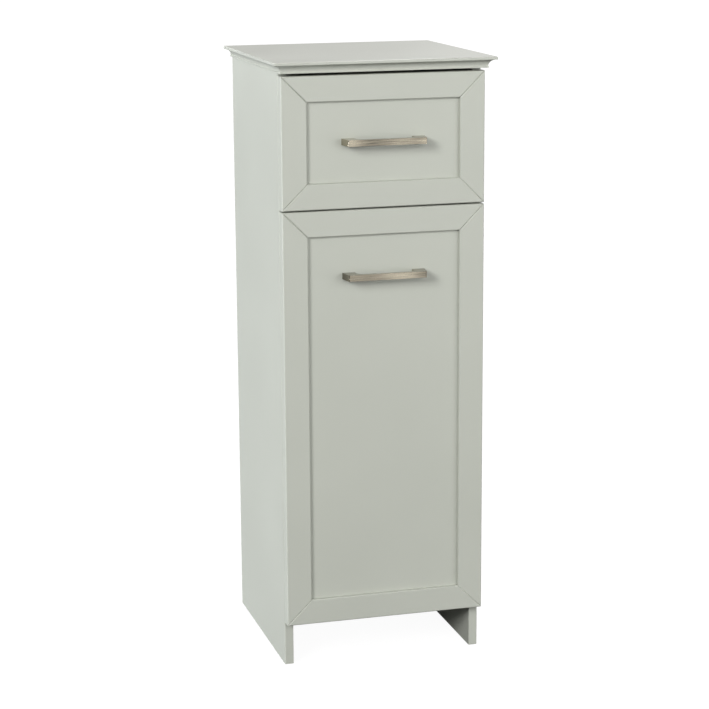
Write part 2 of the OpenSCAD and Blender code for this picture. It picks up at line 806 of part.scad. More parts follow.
module drawer_inner_front() {
    color(raw_board)
    difference() {
        block([-box_in, inner_y, box_z], [box_in, inner_y + drawer_t, box_top]);
        bottom_groove();
        at_each(box_screws) sunk_hole(box_screw_len);
        at_each(front_screws) screw_hole(inner_front_screw_len);
        at_each(drawer_handle_bolts) screw_hole(drawer_t, handle_screw_r);
    }
}

module drawer_back() {
    color(raw_board)
    difference() {
        block([-box_in, box_y1 - drawer_t, floor_z + drawer_bottom_t], [box_in, box_y1, box_top]);
        at_each(box_screws) sunk_hole(box_screw_len);
    }
}

module drawer_bottom() {
    color(raw_board)
    block([-box_in - drawer_groove, inner_y + drawer_t - drawer_groove, floor_z],
          [box_in + drawer_groove, box_y1, floor_z + drawer_bottom_t]);
}

module drawer_box_screws() {
    color(steel) at_each(box_screws) sunk_screw(box_screw_len);
}

module drawer_front_screws() {
    color(steel) at_each(front_screws) pan_screw(inner_front_screw_len, screw_r, pan_r, pan_h);
}

module drawer_runner() {
    s_web = in_x - web_in;
    color(steel)
    difference() {
        union() {
            block([s_web - runner_sheet, drawer_runner_y0, rail_z],
                  [s_web, drawer_runner_y1, upper_z + runner_sheet]);
            block([box_in, drawer_runner_y0, rail_z], [s_web, drawer_runner_y1, box_z]);
            block([s_web - runner_sheet, drawer_runner_y0, upper_z],
                  [in_x - drawer_flange_s, drawer_runner_y1, upper_z + runner_sheet]);
            rod_x_way(axle_r, s_web, in_x - roller_s0 + end_play + axle_head_t, rear_roller_y, roller_z);
            rod_x_way(axle_head_r, s_web, in_x - roller_s1 - end_play, rear_roller_y, roller_z);
            rod_x_way(axle_head_r, in_x - roller_s0 + end_play, in_x - roller_s0 + end_play + axle_head_t,
                      rear_roller_y, roller_z);
        }
        at_each(runner_screws) screw_hole(sheet_screw_len);
    }
}

module right_drawer_runner() drawer_runner();
module left_drawer_runner() on_left() drawer_runner();

module drawer_runner_screws() {
    color(steel) at_each(runner_screws) pan_screw(sheet_screw_len, screw_r, pan_r, pan_h);
}

module drawer_bumpers() {
    color(white_plastic) at_each(drawer_pads) cylinder(r = bumper_r, h = gap_behind);
}

// Hamper

module flap_screw_holes() {
    at_each(concat(flap_leaf_screws, bracket_screws, tab_screws, strike_screws)) screw_hole(sheet_screw_len);
}

module hamper_front_top_rail() difference() {
    frame_rail(flap_z1, 180);
    flap_screw_holes();
}

module hamper_front_bottom_rail() difference() {
    frame_rail(flap_z0, 0);
    flap_screw_holes();
}

module hamper_front_left_stile() difference() {
    frame_stile(flap_z0, flap_z1, -1);
    flap_screw_holes();
}

module hamper_front_right_stile() difference() {
    frame_stile(flap_z0, flap_z1, 1);
    flap_screw_holes();
}

module hamper_front_panel() centre_panel(flap_z0, flap_z1, flap_handle_bolts);

module catch_strike_plate() {
    color(steel)
    difference() {
        block([-strike_w / 2, inner_y, strike_z - strike_h / 2],
              [strike_w / 2, inner_y + strike_t, strike_z + strike_h / 2]);
        at_each(strike_screws) screw_hole(sheet_screw_len);
    }
}

module hamper_bumpers() {
    color(white_plastic) at_each(flap_pads) cylinder(r = bumper_r, h = gap_behind);
}

module stay_brackets() {
    ear_x = in_x - stay_cap_s;
    color(steel)
    both_sides() difference() {
        union() {
            block([ear_x - bracket_foot, inner_y, pivot_z - bracket_h / 2],
                  [ear_x, inner_y + stay_sheet, pivot_z + bracket_h / 2]);
            block([ear_x - stay_sheet, inner_y, pivot_z - ear_r], [ear_x, pivot_y, pivot_z + ear_r]);
            rod_x_way(ear_r, ear_x - stay_sheet, ear_x, pivot_y, pivot_z);
            rod_x_way(stay_pin_r, ear_x - stay_sheet, in_x - face_gap, pivot_y, pivot_z);
            rod_x_way(1.6 * stay_pin_r, in_x - stay_s + face_gap, in_x - face_gap, pivot_y, pivot_z);
        }
        at_each(bracket_screws) screw_hole(sheet_screw_len);
    }
}

// Stay: pivots on the hamper front, and its slot runs on the stud in the side panel
module stay() {
    half = stay_w / 2;
    color(steel)
    translate([in_x - stay_s - stay_sheet, pivot_y, pivot_z]) rotate([stay_slope, 0, 0])
    rotate([90, 0, 90]) linear_extrude(stay_sheet) difference() {
        union() {
            circle(r = half);
            translate([0, -half]) square([stay_reach + half, stay_w]);
            translate([stay_reach + half, 0]) circle(r = half);
        }
        circle(r = stay_pin_r + slip);
        translate([stay_rest - face_gap, -slot_r])
            square([stay_reach - stay_rest + 2 * face_gap, 2 * slot_r]);
        translate([stay_rest - face_gap, 0]) circle(r = slot_r);
        translate([stay_reach + face_gap, 0]) circle(r = slot_r);
    }
}

module right_stay() stay();
module left_stay() on_left() stay();

module rod_corner(x, y, turn) {
    translate([x, y, rod_z]) rotate([0, 0, turn]) rotate_extrude(angle = 90)
        translate([rod_bend, 0]) circle(r = rod_r);
}

module bag_frame() {
    x = rod_x - rod_bend;
    y0 = rod_y0 + rod_bend;
    y1 = rod_y1 - rod_bend;
    color(steel)
    difference() {
        union() {
            for (y = [rod_y0, rod_y1]) rod_x_way(rod_r, -x, x, y, rod_z);
            for (s = [-1, 1]) translate([s * rod_x, y0, rod_z]) rotate([-90, 0, 0])
                cylinder(r = rod_r, h = y1 - y0);
            rod_corner(x, y1, 0);
            rod_corner(-x, y1, 90);
            rod_corner(-x, y0, 180);
            rod_corner(x, y0, 270);
            for (s = [-1, 1]) block([s * tab_x - tab_w / 2, inner_y, rod_z - tab_h / 2],
                                    [s * tab_x + tab_w / 2, inner_y + tab_t, rod_z + tab_h / 2]);
        }
        at_each(tab_screws) screw_hole(sheet_screw_len);
    }
}

module bag_block(inset, z0, z1) {
    bend = rod_bend + rod_r - inset;
    x = rod_x + rod_r - inset;
    y0 = bag_y0 + inset;
    y1 = bag_y1 - inset;
    translate([0, 0, z0]) linear_extrude(z1 - z0) {
        for (cx = [bend - x, x - bend], cy = [y0 + bend, y1 - bend]) translate([cx, cy]) circle(r = bend);
        translate([-x, y0 + bend]) square([2 * x, y1 - y0 - 2 * bend]);
        translate([bend - x, y0]) square([2 * (x - bend), y1 - y0]);
    }
}

module laundry_bag() {
    color(cloth)
    difference() {
        bag_block(0, bag_z0, bag_top);
        bag_block(bag_wall, bag_z0 + bag_wall, bag_top + over);
    }
}

module hamper_screws() {
    color(steel)
    at_each(concat(flap_leaf_screws, bracket_screws, tab_screws, strike_screws))
        pan_screw(sheet_screw_len, screw_r, pan_r, pan_h);
}

top_panel();
left_side_panel();
right_side_panel();
bottom_panel();
divider_panel();
back_panel();
cam_locks();
cam_bolts();
wooden_dowels();
back_panel_screws();
carcass_screws();
left_cabinet_runner();
right_cabinet_runner();
left_front_roller();
right_front_roller();
left_hinge_base_leaf();
right_hinge_base_leaf();
hinge_pins();
stay_studs();
magnetic_catch();
drawer_front_top_rail();
drawer_front_bottom_rail();
drawer_front_left_stile();
drawer_front_right_stile();
drawer_front_panel();
drawer_handle();
drawer_handle_screws();
drawer_inner_front();
drawer_left_side();
drawer_right_side();
drawer_back();
drawer_bottom();
drawer_box_screws();
drawer_front_screws();
left_drawer_runner();
right_drawer_runner();
drawer_runner_screws();
left_rear_roller();
right_rear_roller();
drawer_bumpers();
hamper_front_top_rail();
hamper_front_bottom_rail();
hamper_front_left_stile();
hamper_front_right_stile();
hamper_front_panel();
hamper_handle();
hamper_handle_screws();
left_hinge_flap_leaf();
right_hinge_flap_leaf();
catch_strike_plate();
hamper_bumpers();
stay_brackets();
left_stay();
right_stay();
bag_frame();
laundry_bag();
hamper_screws();
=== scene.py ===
"""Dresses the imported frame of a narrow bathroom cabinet: a drawer above a tilt-out laundry hamper.

Every length is in metres, in the frame's own axes: X to the right, Y to the back and Z up. The
frame gives the place of every board, rail and fitting. This script gives each its finish, rounds
the edges of boards and fittings, turns the screws and sews the laundry bag.
"""

import json
import logging
import math
from collections.abc import Iterable, Iterator, Sequence
from dataclasses import dataclass
from enum import Enum
from functools import cache

import bmesh
import bpy
import numpy as np
from bmesh.types import BMesh, BMLoop, BMVert
from bpy.types import (
    ID, GeometryNodeTree, Material, Mesh, Node, NodeOutputs, NodeSocket, NodeTree, Object,
)
from mathutils import Matrix, Vector, noise


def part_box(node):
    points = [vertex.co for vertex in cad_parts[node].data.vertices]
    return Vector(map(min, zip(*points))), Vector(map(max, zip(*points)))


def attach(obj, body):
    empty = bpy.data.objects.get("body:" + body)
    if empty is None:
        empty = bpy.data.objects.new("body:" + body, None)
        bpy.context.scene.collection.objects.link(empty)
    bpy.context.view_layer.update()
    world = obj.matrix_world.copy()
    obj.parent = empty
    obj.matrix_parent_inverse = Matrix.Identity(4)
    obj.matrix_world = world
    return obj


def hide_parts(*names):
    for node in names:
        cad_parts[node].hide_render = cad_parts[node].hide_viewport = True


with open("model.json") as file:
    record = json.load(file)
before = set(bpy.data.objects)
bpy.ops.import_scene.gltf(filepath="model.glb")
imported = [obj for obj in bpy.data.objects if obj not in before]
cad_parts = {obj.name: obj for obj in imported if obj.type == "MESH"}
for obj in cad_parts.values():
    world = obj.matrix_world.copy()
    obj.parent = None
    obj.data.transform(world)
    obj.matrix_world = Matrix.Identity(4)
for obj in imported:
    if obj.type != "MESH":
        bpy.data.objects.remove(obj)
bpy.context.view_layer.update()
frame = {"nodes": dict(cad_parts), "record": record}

MM = 0.001
WELD = 0.002 * MM
log = logging.getLogger("cabinet")

SLOT_OF = {part["node"]: part["material_slot"] for part in frame["record"]["subparts"]}
BODY_OF = {
    node: body for body, nodes in frame["record"]["behaviour"]["bodies"].items() for node in nodes
}


def linear(code: str) -> tuple[float, float, float, float]:
    """Turns an sRGB hex colour into a linear one.

    Args:
        code: six hex digits after a hash.

    Returns:
        Red, green, blue and a full alpha.
    """
    parts = [int(code[i : i + 2], 16) / 255 for i in (1, 3, 5)]
    red, green, blue = [p / 12.92 if p <= 0.04045 else ((p + 0.055) / 1.055) ** 2.4 for p in parts]
    return red, green, blue, 1.0


def per_metre(size_mm: float) -> float:
    """Returns the texture scale whose features are that many millimetres across."""
    return 1000 / size_mm


def add_node(tree: NodeTree, kind: str, inputs: dict | None = None, **settings) -> Node:
    """Adds a node to a tree with its settings, input values and links.

    Args:
        tree: the tree that gets the node.
        kind: the node's type.
        inputs: input name or number to a value, or to the socket that feeds it.
        settings: properties of the node.

    Returns:
        The new node.
    """
    node = tree.nodes.new(kind)
    for key, value in settings.items():
        setattr(node, key, value)
    for key, value in (inputs or {}).items():
        if isinstance(value, NodeSocket):
            tree.links.new(value, node.inputs[key])
        else:
            node.inputs[key].default_value = value
    return node


# Finishes


class Grain(Enum):
    """The direction that a finish's streaks run in."""

    X = 0
    Y = 1
    Z = 2

    def stretch(self, along_mm: float, across_mm: float) -> tuple[float, float, float]:
        """Returns the mapping scale for streaks of that length and width."""
        scale = [per_metre(across_mm)] * 3
        scale[self.value] = per_metre(along_mm)
        return tuple(scale)


@dataclass(frozen=True)
class Finish:
    """A surface finish: how the real surface was made and what that gives the eye.

    Colour and roughness each vary between two values, and the relief between no depth and all of it.
    """

    name: str
    slot: str
    low: str = "#000000"
    high: str = "#FFFFFF"
    rough: tuple[float, float] = (0.4, 0.6)
    depth_mm: float = 0.05
    relief: float = 0.3
    specular: float = 0.5
    metallic: float = 0.0

    def material(self) -> Material:
        """Returns the finish's material, which is built the first time."""
        found = bpy.data.materials.get(self.name)
        if found:
            return found
        made = bpy.data.materials.new(self.name)
        made.use_nodes = True
        tree = made.node_tree
        tree.nodes.clear()
        shader = add_node(tree, "ShaderNodeBsdfPrincipled",
                          {"Metallic": self.metallic, "Specular IOR Level": self.specular})
        add_node(tree, "ShaderNodeOutputMaterial", {"Surface": shader.outputs["BSDF"]})
        self.lay(tree, shader)
        return made

    def lay(self, tree: NodeTree, shader: Node) -> None:
        """Adds the finish's own nodes and feeds them to the shader.

        Args:
            tree: the material's tree.
            shader: its Principled shader.
        """
        raise NotImplementedError

    def wire(
        self, tree: NodeTree, shader: Node, tone: NodeSocket,
        gloss: NodeSocket | None = None, height: NodeSocket | None = None,
    ) -> None:
        """Feeds colour, roughness and relief to a shader.

        Args:
            tree: the material's tree.
            shader: its Principled shader.
            tone: picks between the two colours.
            gloss: picks between the two roughnesses, where the tone doesn't.
            height: the relief's height, where the tone doesn't give it.
        """
        colour = add_node(tree, "ShaderNodeMix",
                          {0: tone, 6: linear(self.low), 7: linear(self.high)}, data_type="RGBA")
        rough = add_node(tree, "ShaderNodeMapRange",
                         {"Value": gloss or tone, "To Min": self.rough[0], "To Max": self.rough[1]})
        bump = add_node(tree, "ShaderNodeBump",
                        {"Height": height or tone, "Distance": self.depth_mm * MM, "Strength": self.relief})
        tree.links.new(colour.outputs[2], shader.inputs["Base Color"])
        tree.links.new(rough.outputs["Result"], shader.inputs["Roughness"])
        tree.links.new(bump.outputs["Normal"], shader.inputs["Normal"])


@dataclass(frozen=True)
class SatinLacquer(Finish):
    """Sprayed satin lacquer on fibreboard: even colour with a faint orange peel in its sheen."""

    low: str = "#BBBEB4"
    high: str = "#C1C4BA"
    rough: tuple[float, float] = (0.36, 0.46)
    depth_mm: float = 0.05
    relief: float = 0.25
    specular: float = 0.45
    drift_mm: float = 140.0
    peel_mm: float = 2.2

    def lay(self, tree: NodeTree, shader: Node) -> None:
        """Adds a slow drift of tone and a fine orange peel."""
        place = add_node(tree, "ShaderNodeTexCoord").outputs["Object"]
        drift = add_node(tree, "ShaderNodeTexNoise",
                         {"Vector": place, "Scale": per_metre(self.drift_mm), "Detail": 2.0})
        peel = add_node(tree, "ShaderNodeTexNoise",
                        {"Vector": place, "Scale": per_metre(self.peel_mm), "Detail": 1.0})
        self.wire(tree, shader, drift.outputs["Fac"], height=peel.outputs["Fac"])


@dataclass(frozen=True)
class FoilBoard(Finish):
    """Pale decor foil pressed on board: faint long streaks of a printed wood grain, dull sheen."""

    low: str = "#CFC8B9"
    high: str = "#DFDACE"
    rough: tuple[float, float] = (0.5, 0.62)
    depth_mm: float = 0.06
    grain: Grain = Grain.Y
    streak_mm: float = 2.4
    length_mm: float = 130.0

    def lay(self, tree: NodeTree, shader: Node) -> None:
        """Adds the streaks and pores of the grain."""
        place = add_node(tree, "ShaderNodeTexCoord").outputs["Object"]
        long = add_node(tree, "ShaderNodeMapping",
                        {"Vector": place, "Scale": self.grain.stretch(self.length_mm, self.streak_mm)})
        streaks = add_node(tree, "ShaderNodeTexNoise",
                           {"Vector": long.outputs[0], "Scale": 1.0, "Detail": 4.0, "Roughness": 0.6})
        self.wire(tree, shader, streaks.outputs["Fac"])


@dataclass(frozen=True)
class TurnedBeech(Finish):
    """Beech rod, fluted and sanded: short dark flecks along the grain."""

    low: str = "#B68F60"
    high: str = "#CFAE80"
    rough: tuple[float, float] = (0.55, 0.7)
    fleck_mm: float = 0.8
    length_mm: float = 9.0

    def lay(self, tree: NodeTree, shader: Node) -> None:
        """Adds the flecks."""
        place = add_node(tree, "ShaderNodeTexCoord").outputs["Object"]
        long = add_node(tree, "ShaderNodeMapping",
                        {"Vector": place, "Scale": Grain.X.stretch(self.length_mm, self.fleck_mm)})
        flecks = add_node(tree, "ShaderNodeTexNoise",
                          {"Vector": long.outputs[0], "Scale": 1.0, "Detail": 3.0})
        self.wire(tree, shader, flecks.outputs["Fac"])


@dataclass(frozen=True)
class BrushedNickel(Finish):
    """Nickel plate brushed lengthwise: warm grey with fine streaks along the bar. Its colour also holds
    painted reflection: lighter and darker stretches along the bar, and streaks with more contrast than
    brushing gives.
    """

    # The wide span from the dark to the light colour is painted reflection as well as the plate's own tone:
    # darker and brighter parts of the bar stand for what the metal mirrors.
    low: str = "#4B473F"
    high: str = "#D0C7B2"
    rough: tuple[float, float] = (0.14, 0.28)
    depth_mm: float = 0.02
    relief: float = 0.35
    metallic: float = 1.0
    brush_mm: float = 0.7
    length_mm: float = 30.0
    # drift_mm and the share below set the size and weight of the lighter and darker stretches along the
    # bar: painted reflection, partly plating.
    drift_mm: float = 55.0
    plating_and_reflection_share: float = 0.5
    tone_ends: tuple[float, float] = (0.3, 0.7)

    def lay(self, tree: NodeTree, shader: Node) -> None:
        """Adds a slow drift of tone, partly plating and partly painted reflection, and the brush marks, a
        little coarser than real ones so that they show, with painted reflection in their contrast.
        """
        place = add_node(tree, "ShaderNodeTexCoord").outputs["Object"]
        # Painted reflection, partly plating: slow lighter and darker stretches of colour along the bar.
        drift = add_node(tree, "ShaderNodeTexNoise",
                         {"Vector": place, "Scale": per_metre(self.drift_mm), "Detail": 1.0})
        long = add_node(tree, "ShaderNodeMapping",
                        {"Vector": place, "Scale": Grain.X.stretch(self.length_mm, self.brush_mm)})
        marks = add_node(tree, "ShaderNodeTexNoise",
                         {"Vector": long.outputs[0], "Scale": 1.0, "Detail": 3.0, "Roughness": 0.6})
        tone = add_node(tree, "ShaderNodeMix",
                        {0: self.plating_and_reflection_share, 2: marks.outputs["Fac"], 3: drift.outputs["Fac"]},
                        data_type="FLOAT")
        # Stretching the tone widens the contrast of the painted reflection together with that of the brush
        # marks.
        contrast = add_node(tree, "ShaderNodeMapRange", {
            "Value": tone.outputs[0], "From Min": self.tone_ends[0], "From Max": self.tone_ends[1],
        })
        self.wire(tree, shader, contrast.outputs["Result"], marks.outputs["Fac"], marks.outputs["Fac"])


@dataclass(frozen=True)
class ZincPlate(Finish):
    """Bright zinc on pressed steel: cool grey with a faint spangle of lighter and darker patches."""

    low: str = "#9FA5AA"
    high: str = "#C9CDD0"
    rough: tuple[float, float] = (0.26, 0.42)
    depth_mm: float = 0.02
    metallic: float = 1.0
    spangle_mm: float = 3.0

    def lay(self, tree: NodeTree, shader: Node) -> None:
        """Adds the spangle."""
        place = add_node(tree, "ShaderNodeTexCoord").outputs["Object"]
        spangle = add_node(tree, "ShaderNodeTexNoise",
                           {"Vector": place, "Scale": per_metre(self.spangle_mm), "Detail": 3.0})
        self.wire(tree, shader, spangle.outputs["Fac"])


@dataclass(frozen=True)
class PebbledCoat(Finish):
    """A skin with a fine pebble, as powder coat and moulded plastic have, in one colour family."""

    low: str = "#E2E2DD"
    high: str = "#ECECE7"
    rough: tuple[float, float] = (0.34, 0.44)
    depth_mm: float = 0.03
    relief: float = 0.4
    pebble_mm: float = 0.9
    drift_mm: float = 60.0
    clear: float = 0.0

    def lay(self, tree: NodeTree, shader: Node) -> None:
        """Adds the pebble and a slow drift of tone."""
        place = add_node(tree, "ShaderNodeTexCoord").outputs["Object"]
        pebble = add_node(tree, "ShaderNodeTexNoise",
                          {"Vector": place, "Scale": per_metre(self.pebble_mm), "Detail": 2.0})
        drift = add_node(tree, "ShaderNodeTexNoise",
                         {"Vector": place, "Scale": per_metre(self.drift_mm), "Detail": 1.0})
        self.wire(tree, shader, drift.outputs["Fac"], pebble.outputs["Fac"], pebble.outputs["Fac"])
        shader.inputs["Transmission Weight"].default_value = self.clear


@dataclass(frozen=True)
class CottonCanvas(Finish):
    """Unbleached plain-weave canvas: warp and weft show as a fine grid, with slubs and soft sheen."""

    low: str = "#BFB298"
    high: str = "#E2D9C4"
    rough: tuple[float, float] = (0.8, 0.95)
    depth_mm: float = 0.25
    relief: float = 0.5
    sheen: float = 0.25
    sheen_rough: float = 0.5
    thread_mm: float = 1.3
    slub_mm: float = 5.0
    weave_map: str = "weave"

    def lay(self, tree: NodeTree, shader: Node) -> None:
        """Adds the two sets of threads, drawn about twice as coarse as real ones, and the slubs.

        The threads follow the cloth's own map, which is in metres.
        """
        flat = add_node(tree, "ShaderNodeUVMap", uv_map=self.weave_map).outputs["UV"]
        bands_per_metre = math.pi / 10 * per_metre(self.thread_mm)
        warp, weft = [
            add_node(tree, "ShaderNodeTexWave",
                     {"Vector": flat, "Scale": bands_per_metre, "Distortion": 0.6, "Detail": 1.0},
                     wave_type="BANDS", bands_direction=way)
            for way in ("X", "Y")
        ]
        threads = add_node(tree, "ShaderNodeMath",
                           {0: warp.outputs["Fac"], 1: weft.outputs["Fac"]}, operation="MULTIPLY")
        slubs = add_node(tree, "ShaderNodeTexNoise",
                         {"Vector": flat, "Scale": per_metre(self.slub_mm), "Detail": 4.0})
        tone = add_node(tree, "ShaderNodeMath",
                        {0: threads.outputs[0], 1: slubs.outputs["Fac"]}, operation="ADD", use_clamp=True)
        self.wire(tree, shader, tone.outputs[0], slubs.outputs["Fac"], threads.outputs[0])
        shader.inputs["Sheen Weight"].default_value = self.sheen
        shader.inputs["Sheen Roughness"].default_value = self.sheen_rough


@dataclass(frozen=True)
class WhiteFloor(Finish):
    """Matt studio floor, which the camera sees over-lit, as white paper in a studio is."""

    low: str = "#5A5A59"
    high: str = "#5E5E5D"
    rough: tuple[float, float] = (0.85, 0.95)
    depth_mm: float = 0.1
    relief: float = 0.05
    specular: float = 0.1
    wash_mm: float = 900.0
    over_lit: float = 0.95

    def lay(self, tree: NodeTree, shader: Node) -> None:
        """Adds a barely visible unevenness and the camera's extra light."""
        place = add_node(tree, "ShaderNodeTexCoord").outputs["Object"]
        wash = add_node(tree, "ShaderNodeTexNoise", {"Vector": place, "Scale": per_metre(self.wash_mm)})
        self.wire(tree, shader, wash.outputs["Fac"])
        seen = add_node(tree, "ShaderNodeLightPath").outputs["Is Camera Ray"]
        extra = add_node(tree, "ShaderNodeMapRange", {"Value": seen, "To Max": self.over_lit})
        shader.inputs["Emission Color"].default_value = (1.0, 1.0, 1.0, 1.0)
        tree.links.new(extra.outputs["Result"], shader.inputs["Emission Strength"])


LACQUER = SatinLacquer("satin_lacquer", "painted_board")
FOIL = FoilBoard("pale_foil_lengthwise", "raw_board")
FOIL_CROSS = FoilBoard("pale_foil_crosswise", "raw_board", grain=Grain.X)
FOIL_UPRIGHT = FoilBoard("pale_foil_upright", "raw_board", grain=Grain.Z)
BEECH = TurnedBeech("turned_beech", "beech")
NICKEL = BrushedNickel("brushed_nickel", "nickel")
ZINC = ZincPlate("zinc_plate", "zinc_steel")
POWDER = PebbledCoat("white_powder_coat", "coated_steel")
NYLON = PebbledCoat("moulded_nylon", "white_plastic", low="#E6E6E0", high="#EFEFEA", pebble_mm=1.6,
                    depth_mm=0.015, rough=(0.42, 0.5))
BUMPER = PebbledCoat("clear_rubber_bumper", "clear_rubber", low="#C9C9C4", high="#D6D6D2", pebble_mm=2.5,
                     depth_mm=0.01, rough=(0.2, 0.3), clear=0.5)
CANVAS = CottonCanvas("cotton_canvas", "cotton")
THREAD = PebbledCoat("sewing_thread", "cotton", low="#CBBFA5", high="#E4DBC6", pebble_mm=0.4, depth_mm=0.05,
                     rough=(0.75, 0.85))

FINISH_OF_SLOT = {f.slot: f for f in (LACQUER, FOIL, BEECH, NICKEL, ZINC, POWDER, NYLON, BUMPER)}
FINISH_OF_NODE = {
    "back_panel": FOIL_UPRIGHT,
    "drawer_back": FOIL_CROSS,
    "drawer_inner_front": FOIL_CROSS,
}


# Meshes and pieces


def linked(name: str, data: ID) -> Object:
    """Returns a new object of the scene with that data."""
    obj = bpy.data.objects.new(name, data)
    bpy.context.scene.collection.objects.link(obj)
    return obj


def applied(obj: Object) -> Mesh:
    """Returns an object's mesh with its modifiers applied, and removes the object."""
    bpy.context.view_layer.update()
    mesh = bpy.data.meshes.new_from_object(obj.evaluated_get(bpy.context.evaluated_depsgraph_get()))
    bpy.data.objects.remove(obj)
    return mesh


def piece(name: str, mesh: Mesh, finish: Finish, body: str, replaced: Sequence[str] = ()) -> Object:
    """Makes a finished mesh a piece of the cabinet.

    Args:
        name: the piece's name.
        mesh: its mesh, in place.
        finish: its finish.
        body: the body that it rides on.
        replaced: the frame's nodes that it stands for.

    Returns:
        The piece.
    """
    mesh.materials.clear()
    mesh.materials.append(finish.material())
    obj = linked(name, mesh)
    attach(obj, body)
    if replaced:
        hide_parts(*replaced)
    log.info("%s: %d faces on %s", name, len(mesh.polygons), body)
    return obj


def welded_copy(node: str) -> BMesh:
    """Returns a node's mesh with the points that coincide joined, for the caller to free."""
    work = bmesh.new()
    work.from_mesh(frame["nodes"][node].data)
    bmesh.ops.remove_doubles(work, verts=work.verts, dist=WELD)
    return work


def softly_shaded(work: BMesh, name: str, sharp: float = 40.0) -> Mesh:
    """Returns a mesh whose small faces blend while its large ones stay flat.

    Args:
        work: the mesh to finish, which is freed.
        name: the mesh's name.
        sharp: edges over this many degrees stay sharp.

    Returns:
        The shaded mesh.
    """
    rough = bpy.data.meshes.new(name)
    for face in work.faces:
        face.smooth = True
    work.to_mesh(rough)
    work.free()
    rough.set_sharp_from_angle(angle=math.radians(sharp))
    holder = linked(name + "_work", rough)
    weigh = holder.modifiers.new("flat faces stay flat", "WEIGHTED_NORMAL")
    weigh.keep_sharp = True
    return applied(holder)


@dataclass(frozen=True)
class Easing:
    """How the outer edges of a node are rounded over.

    An edge is rounded when it turns by more than `turn` degrees and is longer than `shortest`. Faces
    that differ by less than `flat` degrees count as one.
    """

    radius: float = 0.35 * MM
    steps: int = 3
    turn: float = 30.0
    shortest: float = 2.5 * MM
    flat: float = 0.3

    def apply(self, node: str, finish: Finish) -> Object:
        """Makes a rounded copy of a node that stands for it.

        Args:
            node: the frame's node.
            finish: the copy's finish.

        Returns:
            The copy, as a piece on the node's body.
        """
        work = welded_copy(node)
        bmesh.ops.dissolve_limit(work, angle_limit=math.radians(self.flat), verts=work.verts,
                                 edges=work.edges)
        edges = [
            e for e in work.edges
            if e.is_manifold and e.is_convex and e.calc_face_angle() > math.radians(self.turn)
            and e.calc_length() > self.shortest
        ]
        bmesh.ops.bevel(work, geom=edges, offset=self.radius, offset_type="OFFSET", segments=self.steps,
                        profile=0.5, affect="EDGES", clamp_overlap=True)
        mesh = softly_shaded(work, node + "_eased")
        return piece(node + "_eased", mesh, finish, BODY_OF[node], [node])


def bridge(work: BMesh, rings: Sequence[Sequence[BMVert]]) -> None:
    """Joins each ring of points to the next with faces, which are triangles at a pole."""
    for low, high in zip(rings, rings[1:]):
        for i in range(len(low)):
            j = (i + 1) % len(low)
            corners = dict.fromkeys((low[i], low[j], high[j], high[i]))
            work.faces.new(list(corners))


def turned(profile: Sequence[tuple[float, float]], steps: int) -> BMesh:
    """Turns a profile round the Z axis.

    Args:
        profile: radius and height of each point, from the lower pole to the upper one.
        steps: how many points go round.

    Returns:
        A closed bmesh.
    """
    work = bmesh.new()
    rings = []
    for radius, height in profile:
        if radius == 0:
            rings.append([work.verts.new((0, 0, height))] * steps)
            continue
        turns = [2 * math.pi * i / steps for i in range(steps)]
        rings.append([work.verts.new((radius * math.cos(t), radius * math.sin(t), height)) for t in turns])
    bridge(work, rings)
    return work


# Node trees


def new_tree(
    name: str, inputs: Sequence[tuple[str, str, object]]
) -> tuple[GeometryNodeTree, NodeOutputs]:
    """Starts a geometry node tree with a mesh and a finish going in and a mesh coming out.

    Args:
        name: the tree's name.
        inputs: name, socket type and first value of each further input.

    Returns:
        The tree, and the sockets that give what goes in.
    """
    tree = bpy.data.node_groups.new(name, "GeometryNodeTree")
    tree.interface.new_socket("Mesh", in_out="OUTPUT", socket_type="NodeSocketGeometry")
    tree.interface.new_socket("Mesh", in_out="INPUT", socket_type="NodeSocketGeometry")
    for label, kind, first in (("Finish", "NodeSocketMaterial", None), *inputs):
        socket = tree.interface.new_socket(label, in_out="INPUT", socket_type=kind)
        if first is not None:
            socket.default_value = first
    return tree, add_node(tree, "NodeGroupInput").outputs


def finish_tree(tree: GeometryNodeTree, made: NodeSocket, finish: NodeSocket) -> GeometryNodeTree:
    """Ends a tree: what it made becomes real mesh with its material.

    Args:
        tree: the tree.
        made: the geometry, which may be copies.
        finish: the material input.

    Returns:
        The tree.
    """
    real = add_node(tree, "GeometryNodeRealizeInstances", {"Geometry": made})
    dressed = add_node(tree, "GeometryNodeSetMaterial", {"Geometry": real.outputs[0], "Material": finish})
    add_node(tree, "NodeGroupOutput", {0: dressed.outputs[0]})
    return tree


@cache
def placed_copies() -> GeometryNodeTree:
    """Returns the tree that puts a copy of one mesh on each point, by its axis and side attributes."""
    tree, given = new_tree("placed_copies", [
        ("Copy", "NodeSocketObject", None),
        ("Largest turn", "NodeSocketFloat", 0.0),
        ("Seed", "NodeSocketInt", 0),
    ])
    axis, side = [
        add_node(tree, "GeometryNodeInputNamedAttribute", {"Name": label}, data_type="FLOAT_VECTOR")
        for label in ("axis", "side")
    ]
    facing = add_node(tree, "FunctionNodeAxesToRotation", {
        "Primary Axis": axis.outputs["Attribute"], "Secondary Axis": side.outputs["Attribute"],
    }, primary_axis="Z", secondary_axis="X")
    turn = add_node(tree, "FunctionNodeRandomValue", {3: given["Largest turn"], "Seed": given["Seed"]},
                    data_type="FLOAT")
    spin = add_node(tree, "FunctionNodeAxisAngleToRotation", {"Axis": (0, 0, 1), "Angle": turn.outputs[1]})
    way = add_node(tree, "FunctionNodeRotateRotation",
                   {"Rotation": facing.outputs[0], "Rotate By": spin.outputs[0]}, rotation_space="LOCAL")
    copy = add_node(tree, "GeometryNodeObjectInfo", {"Object": given["Copy"]})
    points = add_node(tree, "GeometryNodeMeshToPoints", {"Mesh": given["Mesh"]})
    copies = add_node(tree, "GeometryNodeInstanceOnPoints", {
        "Points": points.outputs[0], "Instance": copy.outputs["Geometry"], "Rotation": way.outputs[0],
    })
    return finish_tree(tree, copies.outputs[0], given["Finish"])


